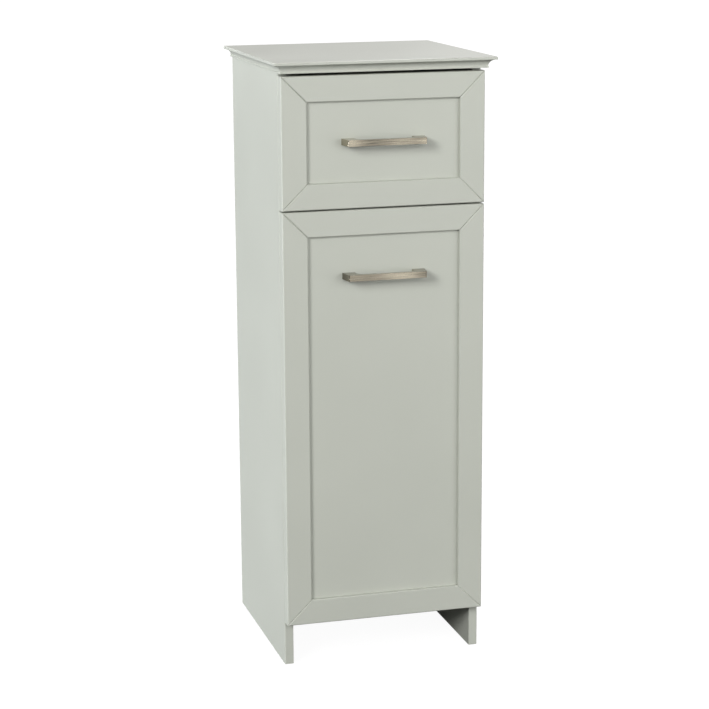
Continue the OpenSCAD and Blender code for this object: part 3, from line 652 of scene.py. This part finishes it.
@cache
def running_stitch() -> GeometryNodeTree:
    """Returns the tree that lays stitches along the edges of a mesh."""
    tree, given = new_tree("running_stitch", [
        ("Pitch", "NodeSocketFloat", 3.4 * MM),
        ("Stitch size", "NodeSocketVector", (0.35 * MM, 0.35 * MM, 1.2 * MM)),
    ])
    path = add_node(tree, "GeometryNodeMeshToCurve", {"Mesh": given["Mesh"]})
    points = add_node(tree, "GeometryNodeCurveToPoints",
                      {"Curve": path.outputs[0], "Length": given["Pitch"]}, mode="LENGTH")
    bead = add_node(tree, "GeometryNodeMeshUVSphere", {"Segments": 6, "Rings": 4, "Radius": 1.0})
    smooth = add_node(tree, "GeometryNodeSetShadeSmooth", {"Geometry": bead.outputs[0]})
    copies = add_node(tree, "GeometryNodeInstanceOnPoints", {
        "Points": points.outputs["Points"], "Instance": smooth.outputs[0],
        "Rotation": points.outputs["Rotation"], "Scale": given["Stitch size"],
    })
    return finish_tree(tree, copies.outputs[0], given["Finish"])


@cache
def welt() -> GeometryNodeTree:
    """Returns the tree that runs a round cord along the edges of a mesh."""
    tree, given = new_tree("welt", [("Radius", "NodeSocketFloat", 1.2 * MM)])
    path = add_node(tree, "GeometryNodeMeshToCurve", {"Mesh": given["Mesh"]})
    ring = add_node(tree, "GeometryNodeCurvePrimitiveCircle", {"Resolution": 8, "Radius": given["Radius"]})
    tube = add_node(tree, "GeometryNodeCurveToMesh",
                    {"Curve": path.outputs[0], "Profile Curve": ring.outputs[0], "Fill Caps": True})
    smooth = add_node(tree, "GeometryNodeSetShadeSmooth", {"Geometry": tube.outputs[0]})
    return finish_tree(tree, smooth.outputs[0], given["Finish"])


def grown(
    mesh: Mesh, tree: GeometryNodeTree, finish: Finish, values: dict[str, object] | None = None
) -> Mesh:
    """Runs a tree on a mesh and returns the plain result.

    Args:
        mesh: the points or paths that go in.
        tree: the tree.
        finish: what the result is made of.
        values: name and value of further inputs.

    Returns:
        The result as a mesh without modifiers.
    """
    sockets = {s.name: s.identifier for s in tree.interface.items_tree if s.in_out == "INPUT"}
    holder = linked(mesh.name + "_work", mesh)
    modifier = holder.modifiers.new("build", "NODES")
    modifier.node_group = tree
    for label, value in {"Finish": finish.material(), **(values or {})}.items():
        modifier[sockets[label]] = value
    return applied(holder)


def copies_on(
    name: str, places: Iterable[tuple[Vector, Vector, Vector]], copy: Object, finish: Finish,
    largest_turn: float = 0.0, seed: int = 0,
) -> Mesh:
    """Returns a mesh with a copy of an object on each place.

    Args:
        name: the name of the mesh of places.
        places: point, axis and side of each copy.
        copy: the object, which is removed.
        finish: what the copies are made of.
        largest_turn: each copy is turned on its axis by up to this angle, at random.
        seed: picks the random angles.

    Returns:
        The copies as one mesh.
    """
    points, axes, sides = zip(*places)
    mesh = bpy.data.meshes.new(name)
    mesh.from_pydata(points, [], [])
    for label, ways in (("axis", axes), ("side", sides)):
        attribute = mesh.attributes.new(label, "FLOAT_VECTOR", "POINT")
        attribute.data.foreach_set("vector", np.array(ways, float).ravel())
    values = {"Copy": copy, "Largest turn": largest_turn, "Seed": seed}
    result = grown(mesh, placed_copies(), finish, values)
    bpy.data.objects.remove(copy)
    return result


def path_mesh(name: str, paths: Iterable[tuple[np.ndarray, bool]]) -> Mesh:
    """Returns a mesh whose edges follow some paths.

    Args:
        name: the mesh's name.
        paths: the points of each path, and whether it closes.

    Returns:
        A mesh of points and edges.
    """
    points, edges = [], []
    for line, closed in paths:
        first, count = len(points), len(line)
        points.extend(map(tuple, line))
        edges.extend((first + i, first + i + 1) for i in range(count - 1))
        if closed:
            edges.append((first + count - 1, first))
    mesh = bpy.data.meshes.new(name)
    mesh.from_pydata(points, edges, [])
    return mesh


# Fasteners


DOME = np.radians((0, 25, 45, 62, 76, 90))


class Head(Enum):
    """A screw head's outline from the middle outwards, in shares of its radius and of its height.

    PAN is domed on top and flat below. SUNK is flat on top and conical below.
    """

    PAN = (*((math.sin(a), 0.75 * (1 - math.cos(a))) for a in DOME), (1.0, 0.9), (0.95, 1.0))
    SUNK = ((0.0, 0.0), (0.55, 0.0), (0.97, 0.0), (1.0, 0.04))


@dataclass(frozen=True)
class Seat:
    """Where one fastener sits and how large it is, read from its solid in the frame."""

    top: Vector
    way: Vector
    length: float
    head_r: float
    shank_r: float


def seats(node: str) -> list[Seat]:
    """Reads the place and size of each separate solid of a fastener node.

    Args:
        node: the frame's node.

    Returns:
        One seat for each solid, from the head towards the tip.
    """
    work = welded_copy(node)
    found, seen = [], set()
    for start in work.verts:
        if start in seen:
            continue
        group, queue = [], [start]
        seen.add(start)
        while queue:
            vert = queue.pop()
            group.append(vert.co.copy())
            for edge in vert.link_edges:
                other = edge.other_vert(vert)
                if other not in seen:
                    seen.add(other)
                    queue.append(other)
        found.append(seat_of(np.array(group)))
    work.free()
    return found


def seat_of(points: np.ndarray) -> Seat:
    """Returns the seat of one fastener from the points of its solid."""
    low, high = points.min(0), points.max(0)
    axis = int(np.argmax(high - low))
    middle = (low + high) / 2
    across = np.delete(points - middle, axis, 1)
    reach = np.hypot(across[:, 0], across[:, 1])
    length = float(high[axis] - low[axis])
    end = 0.1 * length
    near_low = points[:, axis] < low[axis] + end
    near_high = points[:, axis] > high[axis] - end
    head_low = reach[near_low].max() > reach[near_high].max()
    top, way = middle.copy(), np.zeros(3)
    top[axis] = low[axis] if head_low else high[axis]
    way[axis] = 1 if head_low else -1
    shank = reach[near_high if head_low else near_low].max()
    return Seat(Vector(top), Vector(way), length, float(reach.max()), float(shank))


@dataclass(frozen=True)
class ScrewKind:
    """A kind of screw that is turned once and set on every seat of a node.

    The recess's arms are shares of the head's radius and its depth is one of the head's height. At its
    bottom it keeps `recess_taper` of its width. The tip's width is a share of the shank's.
    """

    head: Head
    head_h: float
    finish: Finish = ZINC
    around: int = 28
    point: float = 3 * MM
    tip: float = 0.15
    recess_depth: float = 0.6
    recess_arm: float = 0.55
    recess_half: float = 0.13
    recess_taper: float = 0.55
    seed: int = 7

    def profile(self, seat: Seat) -> list[tuple[float, float]]:
        """Returns the screw's profile, from the top of the head to the tip."""
        head = [(radius * seat.head_r, height * self.head_h) for radius, height in self.head.value]
        shank = [(seat.shank_r, self.head_h), (seat.shank_r, seat.length - self.point)]
        return [*head, *shank, (self.tip * seat.shank_r, seat.length), (0, seat.length)]

    def recess(self, seat: Seat) -> BMesh:
        """Returns the tapered cross that is cut into the head."""
        arm, half = self.recess_arm * seat.head_r, self.recess_half * seat.head_r
        corner = [(half, half), (half, arm), (-half, arm)]
        outline = []
        for quarter in range(4):
            turn = Matrix.Rotation(quarter * math.pi / 2, 3, "Z")
            outline.extend(turn @ Vector((x, y, 0)) for x, y in corner)
        work = bmesh.new()
        depth = self.recess_depth * self.head_h
        rings = [
            [work.verts.new((p.x * scale, p.y * scale, height)) for p in outline]
            for height, scale in ((-depth, 1.0), (0.0, 1.0), (depth, self.recess_taper))
        ]
        bridge(work, rings)
        work.faces.new(reversed(rings[0]))
        work.faces.new(rings[-1])
        return work

    def screw(self, seat: Seat) -> Object:
        """Turns the screw, head at the origin and tip towards +Z, with its recess cut."""
        solids = []
        body = turned(self.profile(seat), self.around)
        for part, work in (("screw", body), ("recess", self.recess(seat))):
            bmesh.ops.recalc_face_normals(work, faces=work.faces)
            mesh = bpy.data.meshes.new(part)
            work.to_mesh(mesh)
            work.free()
            solids.append(linked(part + "_work", mesh))
        whole, cutter = solids
        cut = whole.modifiers.new("recess", "BOOLEAN")
        cut.object = cutter
        cut.solver = "EXACT"
        work = bmesh.new()
        work.from_mesh(applied(whole))
        bpy.data.objects.remove(cutter)
        return linked("screw_copy", softly_shaded(work, "screw"))

    def set_all(self, node: str) -> Object:
        """Sets a screw on every seat of a node.

        Args:
            node: the frame's node of fasteners, which the piece stands for.

        Returns:
            The screws as one piece.
        """
        found = seats(node)
        places = [(seat.top, seat.way, seat.way.orthogonal()) for seat in found]
        result = copies_on(node + "_places", places, self.screw(found[0]), self.finish,
                           largest_turn=math.pi / 2, seed=self.seed)
        return piece(node + "_turned", result, self.finish, BODY_OF[node], [node])


# Sub-assemblies


@dataclass
class SubAssembly:
    """Pieces of the cabinet that move together."""

    eased_boards: tuple[str, ...] = ()
    fittings: tuple[str, ...] = ()
    screw_sets: tuple[tuple[str, ScrewKind], ...] = ()
    board_edge: Easing = Easing()
    fitting_edge: Easing = Easing(radius=0.15 * MM, steps=2, turn=50.0, shortest=1.5 * MM)

    def build(self) -> None:
        """Rounds the edges of boards and fittings and turns the screws."""
        for node in self.eased_boards:
            self.board_edge.apply(node, finish_of(node))
        for node in self.fittings:
            self.fitting_edge.apply(node, finish_of(node))
        for node, kind in self.screw_sets:
            kind.set_all(node)


def finish_of(node: str) -> Finish:
    """Returns the finish of a node of the frame."""
    return FINISH_OF_NODE.get(node) or FINISH_OF_SLOT[SLOT_OF[node]]


SMALL_PAN = ScrewKind(Head.PAN, 1.3 * MM)
HANDLE_PAN = ScrewKind(Head.PAN, 2.0 * MM, point=0.6 * MM)
SUNK = ScrewKind(Head.SUNK, 1.6 * MM)


@dataclass
class Carcass(SubAssembly):
    """Top, sides, shelves and back, with what is fixed to them."""

    eased_boards: tuple[str, ...] = (
        "top_panel", "left_side_panel", "right_side_panel", "bottom_panel", "divider_panel",
    )
    fittings: tuple[str, ...] = (
        "cam_locks", "cam_bolts", "wooden_dowels", "left_cabinet_runner", "right_cabinet_runner",
        "left_hinge_base_leaf", "right_hinge_base_leaf", "hinge_pins", "stay_studs", "magnetic_catch",
        "left_front_roller", "right_front_roller", "left_rear_roller", "right_rear_roller",
    )
    screw_sets: tuple[tuple[str, ScrewKind], ...] = (
        ("carcass_screws", SMALL_PAN), ("back_panel_screws", SUNK),
    )


@dataclass
class FramedFront(SubAssembly):
    """A mitred front with its handle. Each kind of front gives its name."""

    name: str = ""
    handle_edge: Easing = Easing(radius=0.6 * MM, steps=4, shortest=0.05 * MM)

    def __post_init__(self) -> None:
        """Names the front's own boards."""
        parts = ("top_rail", "bottom_rail", "left_stile", "right_stile", "panel")
        self.eased_boards = (*self.eased_boards, *(f"{self.name}_front_{part}" for part in parts))
        self.screw_sets = (*self.screw_sets, (f"{self.name}_handle_screws", HANDLE_PAN))

    def build(self) -> None:
        """Rounds the front's and the handle's edges and turns the screws."""
        super().build()
        self.handle_edge.apply(f"{self.name}_handle", NICKEL)


@dataclass
class Drawer(FramedFront):
    """Drawer front and box."""

    name: str = "drawer"
    eased_boards: tuple[str, ...] = (
        "drawer_inner_front", "drawer_left_side", "drawer_right_side", "drawer_back",
    )
    fittings: tuple[str, ...] = ("left_drawer_runner", "right_drawer_runner", "drawer_bumpers")
    screw_sets: tuple[tuple[str, ScrewKind], ...] = (
        ("drawer_runner_screws", SMALL_PAN), ("drawer_front_screws", SMALL_PAN),
        ("drawer_box_screws", SUNK),
    )


@dataclass
class Hamper(FramedFront):
    """Tilt-out front with its hinges, stays and rod frame."""

    name: str = "hamper"
    fittings: tuple[str, ...] = (
        "left_hinge_flap_leaf", "right_hinge_flap_leaf", "catch_strike_plate", "hamper_bumpers",
        "stay_brackets", "left_stay", "right_stay", "bag_frame",
    )
    screw_sets: tuple[tuple[str, ScrewKind], ...] = (("hamper_screws", SMALL_PAN),)


@dataclass
class Sheet:
    """A sheet of cloth that is made from rows of points, with a weave map in metres."""

    rows: Sequence[Sequence[Sequence[float]]]
    closed: bool = True

    def __post_init__(self) -> None:
        """Places the points."""
        self.work = bmesh.new()
        self.flat = self.work.loops.layers.uv.new(CANVAS.weave_map)
        self.grid = [[self.work.verts.new(point) for point in row] for row in self.rows]

    def woven(self) -> Iterator[tuple[BMLoop, int, int, int]]:
        """Joins the rows with faces.

        Yields:
            Each face's corners, with the strip of faces, the column and the row that they are in.
        """
        columns = len(self.grid[0])
        for strip, (upper, lower) in enumerate(zip(self.grid, self.grid[1:])):
            for k in range(columns if self.closed else columns - 1):
                n = (k + 1) % columns
                face = self.work.faces.new((upper[k], lower[k], lower[n], upper[n]))
                places = ((k, strip), (k, strip + 1), (k + 1, strip + 1), (k + 1, strip))
                for loop, (column, row) in zip(face.loops, places):
                    yield loop, strip, column, row

    def thickened(self, name: str, thickness: float) -> Mesh:
        """Returns the sheet, smooth and with a thickness, half to each side."""
        bmesh.ops.recalc_face_normals(self.work, faces=self.work.faces)
        for face in self.work.faces:
            face.smooth = True
        mesh = bpy.data.meshes.new(name)
        self.work.to_mesh(mesh)
        self.work.free()
        holder = linked(name + "_work", mesh)
        solid = holder.modifiers.new("cloth", "SOLIDIFY")
        solid.thickness = thickness
        solid.offset = 0.0
        return applied(holder)


@dataclass(frozen=True)
class Fold:
    """A family of folds in hanging cloth: how quickly it varies round the bag and down its side."""

    round_rate: float
    down_rate: float

    def at(self, share: float, deep: float, seed: float) -> float:
        """Returns the fold's height, between -1 and 1, at a share of the way round and down."""
        turn = 2 * math.pi * share
        ring = Vector((math.cos(turn), math.sin(turn), 0))
        return noise.noise(ring * self.round_rate + Vector((0, 0, seed + self.down_rate * deep)))


WIDE_FOLDS = Fold(2.6, 0.9)
NARROW_FOLDS = Fold(6.5, 2.2)
CREASES = Fold(5.0, 9.0)


@dataclass
class LaundryBag:
    """Cotton bag that hangs from the hamper's rod frame on sewn straps."""

    body: str = "hamper"
    cloth: float = 0.8 * MM
    rod_r: float = 2.5 * MM
    rod_from_front: float = 4.1 * MM
    bend: float = 18 * MM
    rim_drop: float = 4.2 * MM
    rim_sag: float = 4.5 * MM
    full_sag_span: float = 60 * MM
    hem: float = 24 * MM
    hem_out: float = 0.9 * MM
    strap_w: float = 22 * MM
    strap_t: float = 1.0 * MM
    strap_tail: float = 19 * MM
    strap_neck: float = 2.5 * MM
    rod_gap: float = 0.15 * MM
    hem_gap: float = 0.1 * MM
    first_strap: float = 28 * MM
    side_strap_shares: tuple[float, ...] = (0.12, 0.5, 0.88)
    back_strap_shares: tuple[float, ...] = (0.14, 0.5, 0.86)
    stitch_rise: float = 0.15 * MM
    stitch_inset: float = 2.5 * MM
    rim_stitch: float = 3 * MM
    box_stitch: float = 4 * MM
    welt_out: float = 0.9 * MM
    welt_points: int = 60
    bow: float = 9 * MM
    bow_skew: float = 0.8
    fold: float = 4.5 * MM
    fold_onset: float = 3.5
    fold_fade: float = 0.55
    narrow_share: float = 0.45
    crease: float = 1.6 * MM
    side_slack: float = 2.2 * MM
    slack_onset: float = 4.0
    least_slack: float = 0.6 * MM
    base_round: float = 8 * MM
    base_turns: tuple[float, ...] = (22.5, 45.0, 67.5, 90.0)
    base_sag: float = 3 * MM
    base_crease: float = 1.8 * MM
    base_crease_rate: float = 26.0
    around: int = 320
    down: int = 110
    base_rows: int = 34
    seed: float = 11.0

    def __post_init__(self) -> None:
        """Takes the rod's line and the bag's height from the frame."""
        low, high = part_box("laundry_bag")
        rod_low, rod_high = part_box("bag_frame")
        self.rod_z = (rod_low.z + rod_high.z) / 2
        self.half_x = high.x - self.rod_r
        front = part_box("hamper_front_panel")[1].y + self.rod_from_front
        back = high.y - self.rod_r
        self.centre_y = (front + back) / 2
        self.half_y = (back - front) / 2
        self.rim_z = self.rod_z - self.rim_drop
        self.base_z = low.z + self.base_sag + self.cloth
        self.height = self.rim_z - self.base_z
        self.side_depth = self.height - self.base_round
        self.hem_t = self.cloth / 2
        self.hem_face = self.hem_out + self.hem_t / 2
        self.flat_x, self.flat_y = self.half_x - self.bend, self.half_y - self.bend
        self.arc = math.pi / 2 * self.bend
        self.girth = 4 * (self.flat_x + self.flat_y + self.arc)
        self.shares = np.arange(self.around) / self.around
        self.straps = self.strap_stations()

    def strap_stations(self) -> list[float]:
        """Returns where each strap sits, as a distance round the rod from the middle of the front."""
        side = self.flat_x + self.arc
        back = side + 2 * self.flat_y + self.arc
        other = back + 2 * self.flat_x + self.arc
        return [
            self.first_strap, *(side + q * 2 * self.flat_y for q in self.side_strap_shares),
            *(back + q * 2 * self.flat_x for q in self.back_strap_shares),
            *(other + q * 2 * self.flat_y for q in self.side_strap_shares), self.girth - self.first_strap,
        ]

    def rod_line(self, share: float) -> tuple[Vector, Vector]:
        """Returns the point and the outward direction at a share of the way round the rod."""
        left = (share % 1.0) * self.girth
        flat_x, flat_y = self.flat_x, self.flat_y
        runs = [
            (flat_x, Vector((0, -1)), Vector((1, 0)), Vector((flat_x, -flat_y))),
            (2 * flat_y, Vector((1, 0)), Vector((0, 1)), Vector((flat_x, flat_y))),
            (2 * flat_x, Vector((0, 1)), Vector((-1, 0)), Vector((-flat_x, flat_y))),
            (2 * flat_y, Vector((-1, 0)), Vector((0, -1)), Vector((-flat_x, -flat_y))),
            (flat_x, Vector((0, -1)), Vector((1, 0)), None),
        ]
        start = Vector((0, -self.half_y))
        for length, out, along, hub in runs:
            if left <= length or hub is None:
                spot = start + along * left
                break
            left -= length
            if left <= self.arc:
                angle = left / self.bend
                out = out * math.cos(angle) + along * math.sin(angle)
                spot = hub + out * self.bend
                break
            left -= self.arc
            start = hub + along * self.bend
        return Vector((spot.x, spot.y + self.centre_y, 0)), Vector((out.x, out.y, 0))

    def dip(self, share: float) -> float:
        """Returns how far the rim sags between the two straps nearest to that place."""
        here = (share % 1.0) * self.girth
        stations = [self.straps[-1] - self.girth, *self.straps, self.straps[0] + self.girth]
        for before, after in zip(stations, stations[1:]):
            if before <= here <= after:
                span = after - before - self.strap_w
                t = min(1.0, max(0.0, (here - before - self.strap_w / 2) / span))
                return self.rim_sag * 4 * t * (1 - t) * min(1.0, span / self.full_sag_span)
        return 0.0

    def slack(self, share: float, deep: float, spot: Vector, out: Vector) -> float:
        """Returns how far the cloth hangs inside the rod's line: its slack, its inward bow and its folds.

        Args:
            share: the place round the rod.
            deep: 0 at the hem's lower edge and 1 at the base.
            spot: the place on the rod's line.
            out: the outward direction there.
        """
        if deep <= 0:
            return 0.0
        across, along = spot.x / self.half_x, (spot.y - self.centre_y) / self.half_y
        middle = out.y**2 * (1 - across**2) + out.x**2 * (1 - along**2)
        eased = deep * deep * (3 - 2 * deep)
        bow = self.bow * middle * math.sin(math.pi * min(1.0, deep**self.bow_skew)) ** self.bow_skew
        wide = WIDE_FOLDS.at(share, deep, self.seed)
        narrow = NARROW_FOLDS.at(share, deep, self.seed * 2)
        crease = CREASES.at(share, deep, self.seed * 3)
        envelope = min(1.0, self.fold_onset * deep) * (1 - self.fold_fade * eased)
        folds = self.fold * envelope * (wide + self.narrow_share * narrow) + self.crease * eased * crease
        return max(self.least_slack, self.side_slack * min(1.0, self.slack_onset * deep) + bow + folds)

    def wall(self, share: float, down: float, out_by: float = 0.0) -> Vector:
        """Returns a point of the bag's side.

        Args:
            share: the place round the rod, from 0 to 1.
            down: the distance below the rim, as cloth.
            out_by: how far outside the cloth's middle.
        """
        spot, out = self.rod_line(share)
        deep = max(0.0, (down - self.hem) / (self.height - self.hem))
        rim = self.dip(share) * max(0.0, 1 - down / self.height)
        inset = self.slack(share, min(1.0, deep), spot, out)
        place = spot - out * (inset - out_by)
        place.z = self.rim_z - rim - down
        return place

    def ring(self, down: float, out_by: float = 0.0) -> np.ndarray:
        """Returns the points of the bag's side all the way round, as `wall` gives them."""
        return np.array([self.wall(share, down, out_by) for share in self.shares])

    def rings(self) -> list[np.ndarray]:
        """Returns the rings of points from the rim, down the side and round to the base's middle."""
        rings = [self.ring(self.side_depth * i / self.down) for i in range(self.down + 1)]
        edge = rings[-1]
        centre = np.array([0.0, self.centre_y, 0.0])
        inward = centre - edge
        inward[:, 2] = 0
        inward /= np.linalg.norm(inward, axis=1)[:, None]
        for angle in np.radians(self.base_turns):
            ring = edge + inward * self.base_round * (1 - math.cos(angle))
            ring[:, 2] = self.base_z + self.base_round * (1 - math.sin(angle))
            rings.append(ring)
        border = rings[-1]
        rate = self.base_crease_rate
        for i in range(1, self.base_rows):
            r = i / self.base_rows
            ring = border * (1 - r) + centre * r
            creases = np.array([noise.noise(Vector((x * rate, y * rate, self.seed))) for x, y, _ in ring])
            ring[:, 2] = self.base_z - self.base_sag * (1 - (1 - r) ** 2)
            ring[:, 2] += creases * self.base_crease * min(1.0, 5 * r)
            rings.append(ring)
        return rings

    def shell(self) -> Mesh:
        """Returns the bag's cloth, whose weave map unrolls the side and lays the base flat."""
        rings = self.rings()
        runs = [np.linalg.norm(after[0] - before[0]) for before, after in zip(rings, rings[1:])]
        depth = [0.0, *np.cumsum(runs)]
        base_strip = self.down + len(self.base_turns)
        sheet = Sheet(rings)
        pole = sheet.work.verts.new((0, self.centre_y, self.base_z - self.base_sag))
        for loop, strip, column, row in sheet.woven():
            unrolled = (column / self.around * self.girth, depth[row])
            loop[sheet.flat].uv = loop.vert.co.xy if strip >= base_strip else unrolled
        last = sheet.grid[-1]
        for k in range(self.around):
            for loop in sheet.work.faces.new((last[k], pole, last[(k + 1) % self.around])).loops:
                loop[sheet.flat].uv = loop.vert.co.xy
        return sheet.thickened("bag_cloth", self.cloth)

    def band(self) -> Mesh:
        """Returns the hem, which is folded over the rim and sewn down outside.

        Each of its steps is a depth below the rim and a distance outside the cloth's middle.
        """
        out = self.hem_out
        inside = [(self.hem, -out), (0.5 * self.hem, -out), (0.6 * MM, -out), (-0.2 * MM, -0.5 * out)]
        outside = [
            (-0.2 * MM, 0.5 * out), (0.6 * MM, out), (0.5 * self.hem, out), (self.hem - 1 * MM, out),
            (self.hem, 0.7 * out),
        ]
        steps = [*inside, (-0.5 * MM, 0.0), *outside]
        sheet = Sheet([self.ring(down, out_by) for down, out_by in steps])
        for loop, _, column, row in sheet.woven():
            run = steps[row][0] * (1 if row > len(inside) else -1)
            loop[sheet.flat].uv = (column / self.around * self.girth, run)
        return sheet.thickened("bag_hem", self.hem_t)

    def strap(self) -> Object:
        """Returns one strap round the rod: +Z up, +X outwards and Y along the rod."""
        ride = self.rod_r + self.rod_gap + self.strap_t / 2
        clear = self.hem_face + self.strap_t / 2 + self.hem_gap
        low = -self.rim_drop - self.strap_tail
        neck = -self.rim_drop - self.strap_neck
        arc = [(ride * math.cos(a), ride * math.sin(a)) for a in np.radians(np.arange(195, -16, -15))]
        tail = [(-clear, low), (-clear, low / 2), (-clear, neck)]
        line = [*tail, *arc, *((-x, z) for x, z in reversed(tail))]
        across = np.linspace(-0.5, 0.5, 5) * self.strap_w
        sheet = Sheet([[(x, y, z) for y in across] for x, z in line], closed=False)
        for loop, *_ in sheet.woven():
            loop[sheet.flat].uv = (loop.vert.co.y, loop.vert.co.z + loop.vert.co.x)
        return linked("strap_copy", sheet.thickened("strap", self.strap_t))

    def strap_set(self) -> Mesh:
        """Returns all the straps, placed round the rod."""
        lines = [self.rod_line(station / self.girth) for station in self.straps]
        places = [(Vector((spot.x, spot.y, self.rod_z)), Vector((0, 0, 1)), out) for spot, out in lines]
        return copies_on("strap_places", places, self.strap(), CANVAS)

    def seams(self) -> list[float]:
        """Returns the share of the way round at each corner, where the side panels are sewn."""
        first = self.flat_x + self.arc / 2
        second = first + 2 * self.flat_y + self.arc
        return [s / self.girth for s in (first, second, self.girth - second, self.girth - first)]

    def stitches(self) -> Mesh:
        """Returns the stitches: two lines round the hem, and a crossed box on each strap's outer tail."""
        hem_downs = (self.rim_stitch, self.hem - self.stitch_inset)
        paths = [(self.ring(down, self.hem_face), True) for down in hem_downs]
        out = self.hem_face + (self.strap_t + self.stitch_rise)
        side = self.strap_w / 2 - self.stitch_inset
        low = self.strap_tail - self.stitch_inset
        corners = [(-side, self.box_stitch), (side, self.box_stitch), (side, low), (-side, low)]
        for station in self.straps:
            box = np.array([self.wall((station + x) / self.girth, down, out) for x, down in corners])
            paths.extend([(box, True), (box[::2], False), (box[1::2], False)])
        return grown(path_mesh("stitch_paths", paths), running_stitch(), THREAD)

    def welts(self) -> Mesh:
        """Returns the piped seams: one down each corner and one round the base."""
        downs = np.linspace(self.hem, self.side_depth, self.welt_points)
        paths = [(np.array([self.wall(s, d, self.welt_out) for d in downs]), False) for s in self.seams()]
        paths.append((self.ring(self.side_depth, self.welt_out), True))
        return grown(path_mesh("welt_paths", paths), welt(), THREAD)

    def build(self) -> None:
        bag = piece("laundry_bag_cloth", self.shell(), CANVAS, self.body, ["laundry_bag"])
        parts = [
            piece("laundry_bag_hem", self.band(), CANVAS, self.body),
            piece("laundry_bag_straps", self.strap_set(), CANVAS, self.body),
            piece("laundry_bag_stitches", self.stitches(), THREAD, self.body),
            piece("laundry_bag_welts", self.welts(), THREAD, self.body),
        ]


# Studio


@dataclass(frozen=True)
class Softbox:
    """A square lamp with an even face, aimed at the middle of the cabinet."""

    name: str
    power: float
    at: tuple[float, float, float]
    side: float
    colour: str = "#FFFFFF"
    aim: tuple[float, float, float] = (0.0, 0.0, 0.45)

    def hang(self) -> None:
        """Adds the lamp to the scene."""
        data = bpy.data.lights.new(self.name, "AREA")
        data.shape = "SQUARE"
        data.size = self.side
        data.energy = self.power
        data.color = linear(self.colour)[:3]
        lamp = linked(self.name, data)
        lamp.location = self.at
        lamp.rotation_euler = (Vector(self.at) - Vector(self.aim)).to_track_quat("Z", "Y").to_euler()


@dataclass
class Studio:
    """Floor, soft light and the camera."""

    floor_half: float = 60.0
    sky: float = 0.2
    overhead: float = 2.25
    overhead_spread: float = 30.0
    overhead_lean: tuple[float, float] = (-34.0, 20.0)
    overhead_colour: str = "#FFFCFF"
    softboxes: tuple[Softbox, ...] = (
        Softbox("key_softbox", 166.0, (-3.4, -3.4, 2.5), 1.6),
        Softbox("left_softbox", 214.0, (-3.9, 0.9, 0.1), 1.4, "#F6F9FF"),
        Softbox("front_softbox", 16.0, (0.3, -3.1, 1.4), 1.2),
        Softbox("right_softbox", 25.0, (1.8, -2.7, 1.2), 1.4),
        Softbox("low_softbox", 1.9, (0.7, -2.3, 0.25), 0.7),
        Softbox("glint_softbox", 6.0, (2.3, -1.5, 0.3), 0.5),
        Softbox("rear_softbox", 6.0, (-0.6, 3.2, 1.2), 1.4),
        Softbox("rim_softbox", 4.0, (1.6, 2.8, 1.9), 1.4),
    )
    lens: float = 107.75
    sensor: float = 36.0
    far: float = 200.0
    azimuth: float = -15.64
    pitch: float = 12.72
    roll: float = -0.35
    eye: tuple[float, float, float] = (-0.7820, -2.7768, 1.0510)

    def floor(self) -> None:
        """Lays the floor."""
        s = self.floor_half
        mesh = bpy.data.meshes.new("studio_floor")
        mesh.from_pydata([(-s, -s, 0), (s, -s, 0), (s, s, 0), (-s, s, 0)], [], [(0, 1, 2, 3)])
        mesh.materials.append(WhiteFloor("white_floor", "").material())
        linked("studio_floor", mesh)

    def lights(self) -> None:
        """Adds an even sky, a wide overhead light that leans in from behind and the softboxes."""
        world = bpy.data.worlds.new("studio")
        world.use_nodes = True
        tree = world.node_tree
        tree.nodes.clear()
        seen = add_node(tree, "ShaderNodeLightPath").outputs["Is Camera Ray"]
        strength = add_node(tree, "ShaderNodeMapRange", {"Value": seen, "To Min": self.sky, "To Max": 1.0})
        sky = add_node(tree, "ShaderNodeBackground",
                       {"Color": (1.0, 1.0, 1.0, 1.0), "Strength": strength.outputs["Result"]})
        add_node(tree, "ShaderNodeOutputWorld", {"Surface": sky.outputs[0]})
        bpy.context.scene.world = world
        data = bpy.data.lights.new("overhead_light", "SUN")
        data.energy = self.overhead
        data.angle = math.radians(self.overhead_spread)
        data.color = linear(self.overhead_colour)[:3]
        overhead = linked("overhead_light", data)
        overhead.rotation_euler = [math.radians(lean) for lean in (*self.overhead_lean, 0.0)]
        for softbox in self.softboxes:
            softbox.hang()

    def camera(self) -> None:
        """Sets the camera where the photograph was taken from."""
        data = bpy.data.cameras.new("camera")
        data.lens = self.lens
        data.sensor_width = self.sensor
        data.clip_end = self.far
        cam = linked("camera", data)
        turn = Matrix.Rotation(math.radians(self.azimuth), 4, "Z")
        tilt = Matrix.Rotation(math.radians(90 - self.pitch), 4, "X")
        spin = Matrix.Rotation(math.radians(self.roll), 4, "Z")
        cam.matrix_world = Matrix.Translation(self.eye) @ turn @ tilt @ spin
        bpy.context.scene.camera = cam

    def build(self) -> None:
        """Sets up the floor, the lights, the camera and the picture's colours."""
        self.floor()
        self.lights()
        self.camera()
        bpy.context.scene.view_settings.view_transform = "Standard"


def dress_frame() -> None:
    """Gives every node of the frame that stays in view its finish."""
    for node, obj in frame["nodes"].items():
        if SLOT_OF[node] == CANVAS.slot:
            continue
        obj.data.materials.clear()
        obj.data.materials.append(finish_of(node).material())


def main() -> None:
    """Builds the studio and each sub-assembly."""
    logging.basicConfig(level=logging.INFO, format="%(name)s: %(message)s")
    Studio().build()
    dress_frame()
    for part in (Carcass(), Drawer(), Hamper(), LaundryBag()):
        part.build()


if __name__ == "__main__":
    main()
